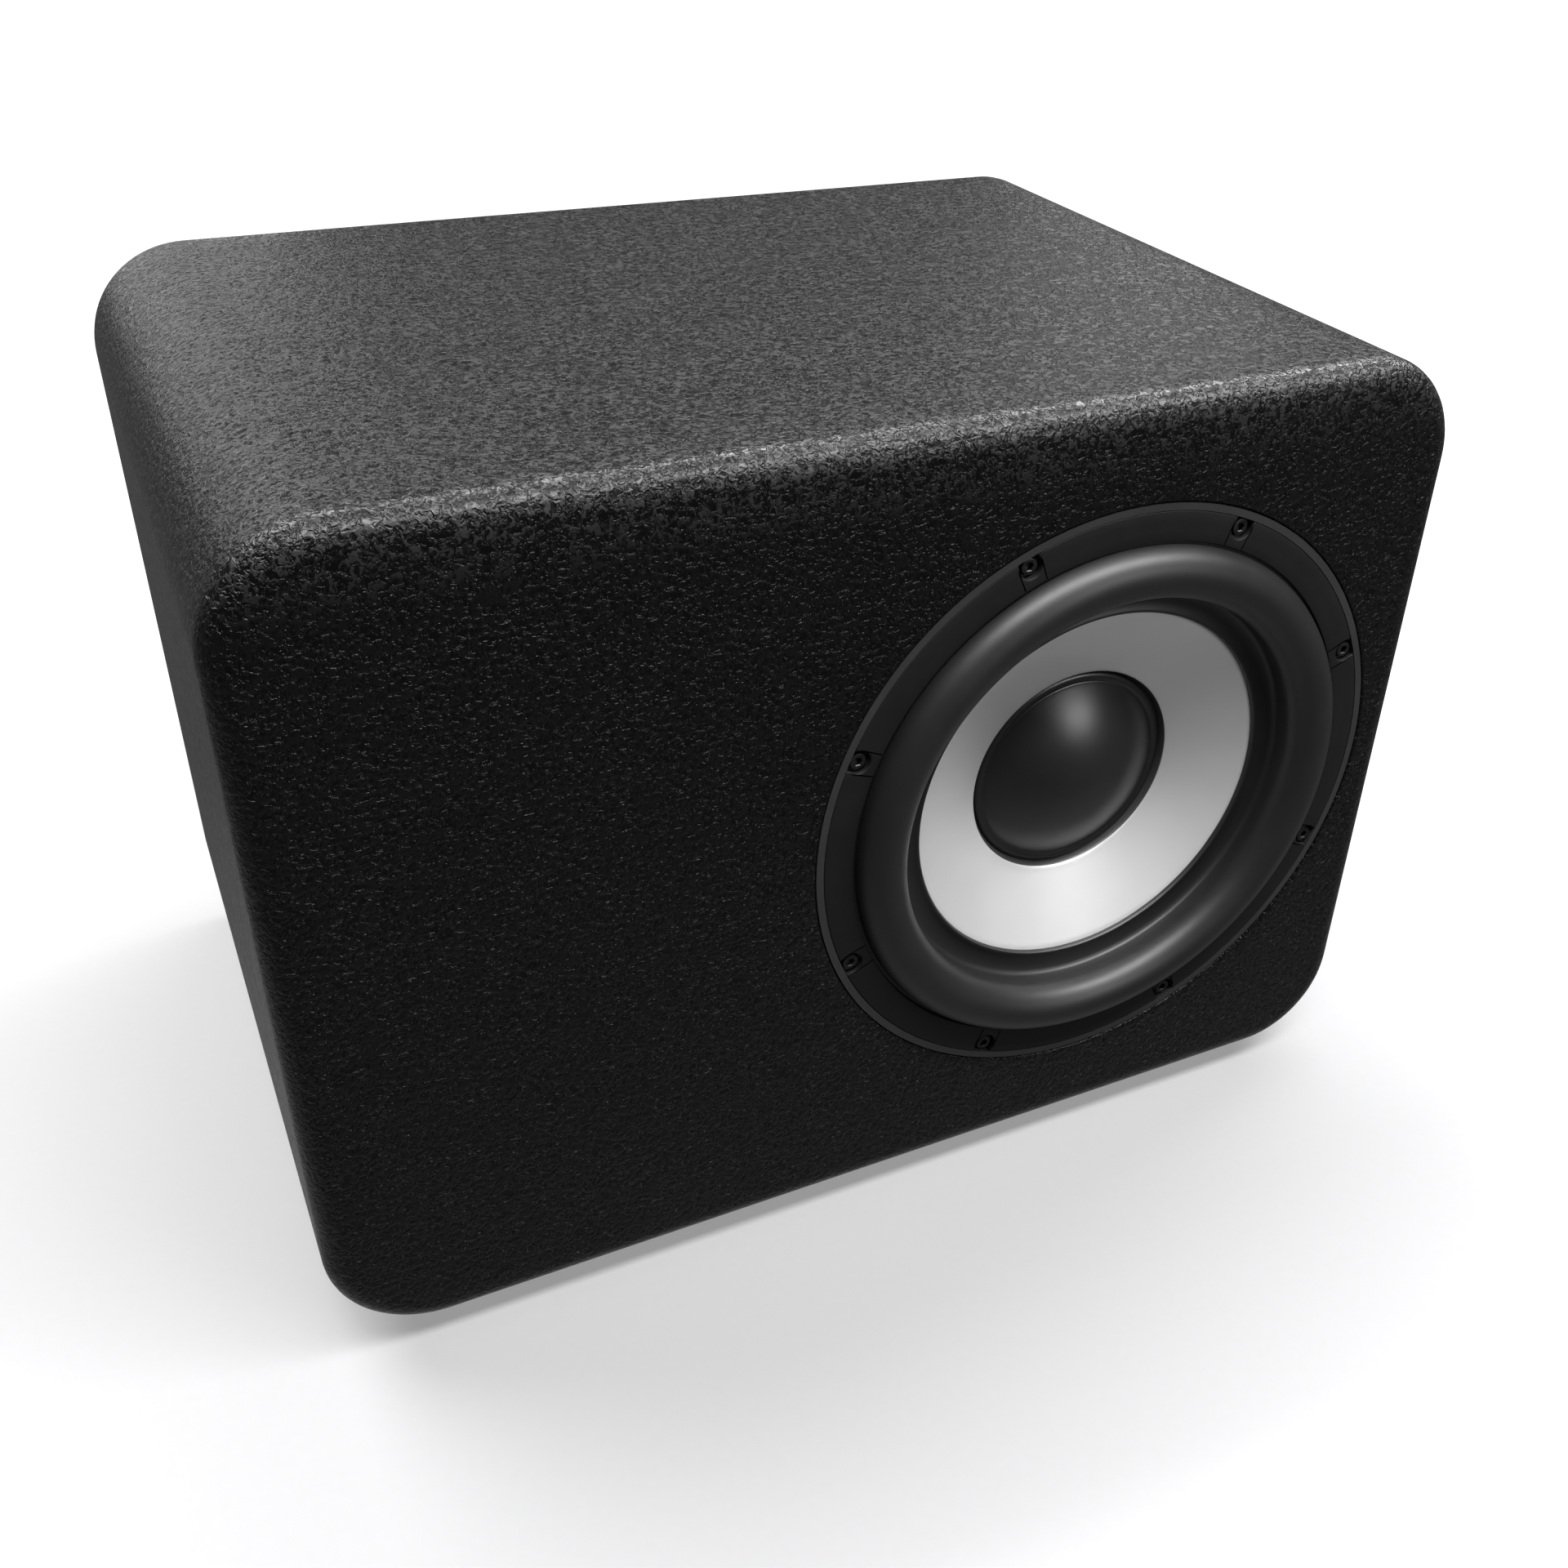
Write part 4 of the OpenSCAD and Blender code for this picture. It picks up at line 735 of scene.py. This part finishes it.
def smooth_route(points, steps):
    """Catmull-Rom curve through the points: each stretch is a cubic whose end directions run
    between the neighbours of its ends."""
    p = np.array(points, float)
    ends = np.vstack([p[:1], p, p[-1:]])
    a, b, c, d = (ends[k:len(p) - 1 + k, None] for k in range(4))
    t = np.linspace(0, 1, steps, endpoint=False)[None, :, None]
    curve = 0.5 * (2 * b + t * (c - a) + t ** 2 * (2 * a - 5 * b + 4 * c - d)
        + t ** 3 * (3 * b - a - 3 * c + d))
    return np.vstack([curve.reshape(-1, p.shape[1]), p[-1:]])


def tube_grid(path, radius, count):
    """Round tube along a path that keeps its height: each ring stands square to the path, on
    the upright and the sideways direction there, and the tube closes to a point at each end."""
    ahead = np.gradient(path, axis=0)
    ahead /= np.linalg.norm(ahead, axis=1)[:, None]
    side = np.cross(ahead, (0, 0, 1.0))
    side /= np.linalg.norm(side, axis=1)[:, None]
    over = np.cross(side, ahead)
    angle = np.linspace(0, 2 * math.pi, count, endpoint=False)[:, None, None]
    tube = path + radius * (np.cos(angle) * side + np.sin(angle) * over)
    ends = np.broadcast_to(path[[0, -1]][None], (count, 2, 3))
    return np.concatenate([ends[:, :1], tube, ends[:, 1:]], axis=1)


tinsel_points = [(tinsel_start_r, cone_depth(tinsel_start_r) + cone_back + tinsel_r),
    *[(r * mm, d * mm) for r, d in tinsel_route], (block_r, block_depth)]
tinsel_line = smooth_route(tinsel_points, 8)
tinsel_grids = [tube_grid(np.array(front_point) + np.stack([-tinsel_line[:, 0], tinsel_line[:, 1],
    np.full(len(tinsel_line), -s * tinsel_gap)], 1), tinsel_r, 12) for s in (-1, 1)]
tinsel = add_surface("tinsel_pair", tinsel_grids, wrap=(True, False))
tinsel_look = Finish("tinsel_braid")
plait = tinsel_look.node("TexWave", {"wave_type": "BANDS", "bands_direction": "DIAGONAL"},
    {"Vector": tinsel_look.place(), "Scale": 1 / (3 * mm)})
tinsel_look.surface(tinsel_look.mix(plait, (0.34, 0.17, 0.07), (0.72, 0.42, 0.22)),
    0.35 + 0.2 * plait, plait, 0.15 * mm, Metallic=0.9)
tinsel.data.materials.append(tinsel_look.owner)
stretch_with_cone(tinsel)
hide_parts("tinsel_leads")

# ---- Cabinet: boards and blocks ----
# Fibre boards glued to pine blocks in the corners, round a birch plywood window brace,
# with polyester wadding on three walls.

mdf_look = Finish("mdf")
chips = mdf_look.noise(1.2 * mm, detail=3, rough=0.7)
mdf_look.surface(mdf_look.mix(chips, (0.36, 0.25, 0.14), (0.52, 0.39, 0.24)), 0.8,
    chips, 0.06 * mm)
dress(mdf_look.owner, "baffle", "rear_panel", "top_panel", "bottom_panel", "left_panel",
    "right_panel")

pine_look = Finish("glue_block_pine")
rings = pine_look.node("TexWave", {"wave_type": "RINGS", "rings_direction": "Y"},
    {"Vector": pine_look.place((0.3, 0, -0.2)), "Scale": 1 / (24 * mm), "Distortion": 1.5,
     "Detail": 2.0})
pine_look.surface(pine_look.mix(rings, (0.62, 0.42, 0.20), (0.78, 0.60, 0.36)), 0.6,
    rings, 0.05 * mm)
dress(pine_look.owner, "corner_blocks")

ply_look = Finish("birch_plywood")
plies = ply_look.ramp(ply_look.node("TexWave", {"wave_type": "BANDS", "bands_direction": "Y"},
    {"Vector": ply_look.place(), "Scale": 1 / (18 * mm)}), (0.4, 0.0), (0.6, 1.0))
figure = ply_look.noise(6 * mm, detail=4, at=ply_look.place((0, 0, 0), (0.1, 1, 1)))
ply_look.surface(ply_look.mix(plies * 0.7 + figure * 0.3, (0.50, 0.34, 0.18), (0.72, 0.56, 0.36)),
    0.62, figure, 0.05 * mm)
dress(ply_look.owner, "window_brace")

wool_look = Finish("polyester_wadding")
tufts = wool_look.noise(7 * mm, detail=5, rough=0.7, distortion=1.2)
wool_look.surface(wool_look.mix(tufts, (0.62, 0.60, 0.55), (0.86, 0.85, 0.81)), 0.95,
    tufts, 3 * mm)
dress(wool_look.owner, "damping_pads")

# ---- Feet ----
# Four moulded rubber feet, each with a rounded tread and a counterbore for its
# zinc-plated screw.

foot_low, foot_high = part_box("feet")
foot_h = foot_high.z - foot_low.z
foot_floor_r = 17 * mm
foot_top_r = 19 * mm
foot_bore_r = 2.05 * mm
counterbore_r = 5 * mm
tread_groove = 0.7 * mm


def soften(corners, radius, steps):
    """Closed profile with rounded corners: each corner gives way to a quadratic curve that
    leaves one side and joins the next at the radius, or at under half of a shorter side."""
    corners = np.array(corners, float)
    ways = []
    for shift in (1, -1):
        way = np.roll(corners, shift, 0) - corners
        length = np.linalg.norm(way, axis=1)[:, None]
        ways.append(corners + way * np.minimum(radius, 0.45 * length) / length)
    t = np.linspace(0, 1, steps + 1)[None, :, None]
    before, after = (way[:, None] for way in ways)
    curve = before * (1 - t) ** 2 + 2 * corners[:, None] * t * (1 - t) + after * t ** 2
    return curve.reshape(-1, 2)


foot_profile = soften([(foot_bore_r, foot_h), (foot_top_r, foot_h),
    (foot_floor_r + 0.3 * mm, 1.5 * mm), (foot_floor_r - 1.2 * mm, 0),
    (foot_floor_r - 4 * mm, 0), (foot_floor_r - 4.6 * mm, tread_groove),
    (counterbore_r + 2.4 * mm, tread_groove), (counterbore_r + 1.8 * mm, 0),
    (counterbore_r, 0), (counterbore_r, foot_h / 2), (foot_bore_r, foot_h / 2)], 0.5 * mm, 4)
upright = np.eye(3)
foot_grids = [turned(foot_profile, (x, y, foot_low.z), upright, 96)
    for x in (foot_low.x + foot_top_r, foot_high.x - foot_top_r)
    for y in (foot_low.y + foot_top_r, foot_high.y - foot_top_r)]
feet = add_surface("rubber_feet", foot_grids, sharp=45)
feet.data.materials.append(grained("foot_rubber", (0.012, 0.012, 0.012), (0.024, 0.024, 0.024),
    0.66, 0.6 * mm, 0.05 * mm))
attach(feet, "cabinet")
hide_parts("feet")
dress(grained("zinc_plated_steel", (0.50, 0.51, 0.52), (0.68, 0.67, 0.64), 0.33, 0.5 * mm,
    0.01 * mm, Metallic=1.0), "foot_screws", "transformer_bolt")

# ---- Amplifier: plate, heatsink and screws ----
# The amplifier hangs on a black anodised aluminium plate, screwed over a foam seal, with
# an extruded heatsink on its left half.

plate_look = Finish("anodised_plate")
brush = plate_look.noise(0.5 * mm, detail=3, at=plate_look.place((0, 0, 0), (0.02, 1, 1)))
wear = plate_look.noise(40 * mm, detail=4)
plate_look.surface(plate_look.mix(brush, (0.022, 0.022, 0.024), (0.040, 0.040, 0.043)),
    0.40 + 0.12 * wear, brush, 0.02 * mm, Metallic=0.5)
dress(plate_look.owner, "amp_plate")

sink_look = Finish("heatsink_black")
drawn = sink_look.noise(0.35 * mm, detail=2, at=sink_look.place((0, 0, 0), (1, 1, 0.01)))
sink_look.surface(sink_look.mix(drawn, (0.018, 0.018, 0.019), (0.036, 0.036, 0.038)),
    0.36 + 0.14 * drawn, drawn, 0.03 * mm, Metallic=0.4)
dress(sink_look.owner, "heatsink")
dress(screw_look.owner, "amp_screws")

# ---- Amplifier: knobs, shafts and dial marks ----
# Two fluted knobs on steel shafts. A white line on each face points to the printed marks
# round it, which run three hundred degrees.

knob_r = 11 * mm
knob_l = 14.5 * mm
flute_count = 24
hollow_r = 6.6 * mm
hollow_depth = 6.8 * mm
shaft_hole_r = 3.05 * mm
shaft_hole_depth = 12.5 * mm
flute_depth = 0.035
mark_sweep = 300
mark_count = 11


def knob_grid(origin):
    """Knob along the depth: a hollow underside, a plain skirt, fluted sides whose radius waves
    round the turn, a rounded shoulder and a slightly dished face."""
    def waves(angle):
        return -flute_depth * (0.5 + 0.5 * np.cos(flute_count * angle))

    plain = [(0, shaft_hole_depth), (shaft_hole_r, shaft_hole_depth), (shaft_hole_r, hollow_depth),
        (hollow_r, hollow_depth), (hollow_r, mm), (knob_r - 0.4 * mm, mm), (knob_r, 1.4 * mm),
        (knob_r, 3.1 * mm), (knob_r - 0.4 * mm, 3.5 * mm)]
    fluted = [(knob_r - 0.8 * mm, 3.5 * mm), (knob_r - 0.9 * mm, 3.9 * mm),
        (knob_r - 1.1 * mm, knob_l - 1.3 * mm), (knob_r - 1.5 * mm, knob_l - 0.5 * mm)]
    face = [(knob_r - 2.1 * mm, knob_l), (knob_r - 3 * mm, knob_l),
        (knob_r - 3.6 * mm, knob_l - 0.3 * mm), (0, knob_l - 0.5 * mm)]
    return np.concatenate([turned(part, origin, driver_basis, 192, ripple)
        for part, ripple in ((plain, None), (fluted, waves), (face, None))], axis=1)


def bar(corner, across, along, out):
    """Closed box from a corner and three edges, as a grid of four long sides with end points."""
    corner, across, along, out = (np.array(v, float) for v in (corner, across, along, out))
    ring = np.array([corner, corner + across, corner + across + out, corner + out])
    middle = ring.mean(0)
    return np.stack([np.broadcast_to(middle, (4, 3)), ring, ring + along,
        np.broadcast_to(middle + along, (4, 3))], 1)


def radial_bar(origin, degrees, start, end, width, low, high):
    """Bar on a rear face that points away from an origin, from one radius to another."""
    a = math.radians(degrees)
    way, cross = np.array([math.sin(a), 0, math.cos(a)]), np.array([math.cos(a), 0, -math.sin(a)])
    corner = np.array(origin) + way * start - cross * width / 2 + np.array([0, low, 0])
    return bar(corner, cross * width, way * (end - start), (0, high - low, 0))


white_ink = grained("white_ink", (0.62, 0.62, 0.60), (0.78, 0.78, 0.76), 0.6, 0.4 * mm, 0.01 * mm)
knob_black = grained("knob_plastic", (0.014, 0.014, 0.015), (0.026, 0.026, 0.027), 0.42, 0.4 * mm,
    0.02 * mm)
dial_grids = []
for control in ("volume", "crossover"):
    shaft_low, shaft_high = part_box(control + "_shaft")
    origin = ((shaft_low.x + shaft_high.x) / 2, rear_y, (shaft_low.z + shaft_high.z) / 2)
    knob = add_surface(control + "_dial", [knob_grid(origin)], wrap=(True, False), sharp=30)
    knob.data.materials.append(knob_black)
    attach(knob, control + "_control")
    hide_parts(control + "_knob")
    pointer = add_surface(control + "_pointer", [radial_bar(origin, 0, 3.2 * mm, knob_r - 2.3 * mm,
        1.2 * mm, knob_l - 0.7 * mm, knob_l - 0.02 * mm)], wrap=(True, False), sharp=30)
    pointer.data.materials.append(white_ink)
    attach(pointer, control + "_control")
    for k in range(mark_count):
        long = 1.6 * mm if k in (0, mark_count // 2, mark_count - 1) else 0
        dial_grids.append(radial_bar(origin, (k / (mark_count - 1) - 0.5) * mark_sweep,
            knob_r + 2 * mm, knob_r + 4.6 * mm + long, 0.7 * mm, 0, 0.06 * mm))
marks = add_surface("dial_marks", dial_grids, wrap=(True, False), sharp=30)
marks.data.materials.append(white_ink)
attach(marks, "cabinet")
dress(grained("pot_steel", (0.46, 0.47, 0.48), (0.62, 0.62, 0.62), 0.34, 0.6 * mm, 0.01 * mm,
    Metallic=1.0), "volume_pot", "crossover_pot", "volume_shaft", "crossover_shaft")

# ---- Amplifier: switches, jacks, inlet and light ----
# Two slide switches, four gold-plated line jacks, a rocker switch, an appliance inlet with
# its fuse drawer, and a green light.

moulded = grained("switch_plastic", (0.013, 0.013, 0.014), (0.024, 0.024, 0.025), 0.38, 0.5 * mm,
    0.02 * mm)
dress(moulded, "phase_switch", "phase_slider", "mode_switch", "mode_slider")
dress(grained("rocker_plastic", (0.015, 0.015, 0.016), (0.027, 0.027, 0.028), 0.34, 0.5 * mm,
    0.015 * mm), "rocker_frame", "power_rocker")
dress(grained("inlet_plastic", (0.016, 0.016, 0.017), (0.028, 0.028, 0.030), 0.46, 0.6 * mm,
    0.03 * mm), "mains_inlet", "fuse_drawer")
dress(grained("jack_gold", (0.68, 0.46, 0.17), (0.84, 0.62, 0.28), 0.26, 0.8 * mm, 0.01 * mm,
    Metallic=1.0), "line_jacks")
dress(grained("tinned_brass", (0.62, 0.62, 0.62), (0.76, 0.76, 0.75), 0.30, 0.6 * mm, 0.01 * mm,
    Metallic=1.0), "inlet_pins")

jack_low, jack_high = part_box("jack_insulators")
jack_look = Finish("jack_red")
half_way = (jack_low.x + jack_high.x) / 2
right_pair = jack_look.node("Math", {"operation": "GREATER_THAN"},
    {0: jack_look.along(0), 1: half_way})
speck = jack_look.noise(0.6 * mm)
jack_look.surface(jack_look.mix(right_pair, (0.42, 0.020, 0.016), (0.58, 0.57, 0.54)),
    0.36 + 0.1 * speck, speck, 0.01 * mm)
dress(jack_look.owner, "jack_insulators")

fuse_look = Finish("fuse_glass")
fuse_low, fuse_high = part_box("fuse")
from_middle = fuse_look.node("Math", {"operation": "ABSOLUTE"},
    {0: fuse_look.along(1) - (fuse_low.y + fuse_high.y) / 2})
capped = fuse_look.node("Math", {"operation": "GREATER_THAN"}, {0: from_middle, 1: 5 * mm})
fuse_look.surface(fuse_look.mix(capped, (0.72, 0.78, 0.78), (0.60, 0.60, 0.61)),
    0.12 + 0.2 * capped, fuse_look.noise(mm), 0.01 * mm, Metallic=capped)
dress(fuse_look.owner, "fuse")

light_look = Finish("led_green")
crown = light_look.noise(2 * mm)
light_look.surface(light_look.mix(crown, (0.05, 0.42, 0.10), (0.10, 0.60, 0.18)),
    0.18 + 0.1 * crown, crown, 0.01 * mm, Emission_Color=(0.10, 0.80, 0.22),
    Emission_Strength=0.35)
dress(light_look.owner, "status_led")

# ---- Amplifier: electronics and wires ----
# Behind the plate: a toroidal transformer wrapped in yellow tape, a green circuit board
# with its capacitors, and the insulated leads.

board_look = Finish("circuit_board")
tracks = board_look.ramp(board_look.node("TexBrick", None, {"Vector": board_look.place(),
    "Scale": 1 / (12 * mm), "Mortar Size": 0.03}, out=1), (0.4, 0.0), (0.6, 1.0))
board_look.surface(board_look.mix(tracks, (0.012, 0.13, 0.045), (0.030, 0.24, 0.09)), 0.35,
    tracks, 0.03 * mm)
dress(board_look.owner, "amp_board")
dress(grained("capacitor_sleeve", (0.012, 0.030, 0.085), (0.020, 0.045, 0.120), 0.32, mm,
    0.01 * mm), "filter_capacitors")
wrap_look = Finish("transformer_wrap")
toroid_low, toroid_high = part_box("transformer")
toroid_mid = (toroid_low + toroid_high) / 2
lap = wrap_look.node("TexGradient", {"gradient_type": "RADIAL"},
    {"Vector": wrap_look.node("CombineXYZ", None, {0: wrap_look.along(0, toroid_mid),
        1: wrap_look.along(2, toroid_mid)})})
tape_turns = 40
tape = wrap_look.node("Math", {"operation": "FRACT"}, {0: lap * tape_turns})
wrap_look.surface(wrap_look.mix(tape, (0.56, 0.38, 0.06), (0.80, 0.62, 0.16)), 0.34,
    tape, 0.2 * mm)
dress(wrap_look.owner, "transformer")

dress(grained("wire_red", (0.30, 0.014, 0.012), (0.36, 0.020, 0.016), 0.42, 0.8 * mm, 0.02 * mm),
    "speaker_wires")
dress(grained("wire_blue", (0.020, 0.060, 0.26), (0.035, 0.085, 0.34), 0.42, 0.8 * mm, 0.02 * mm),
    "amp_wiring")
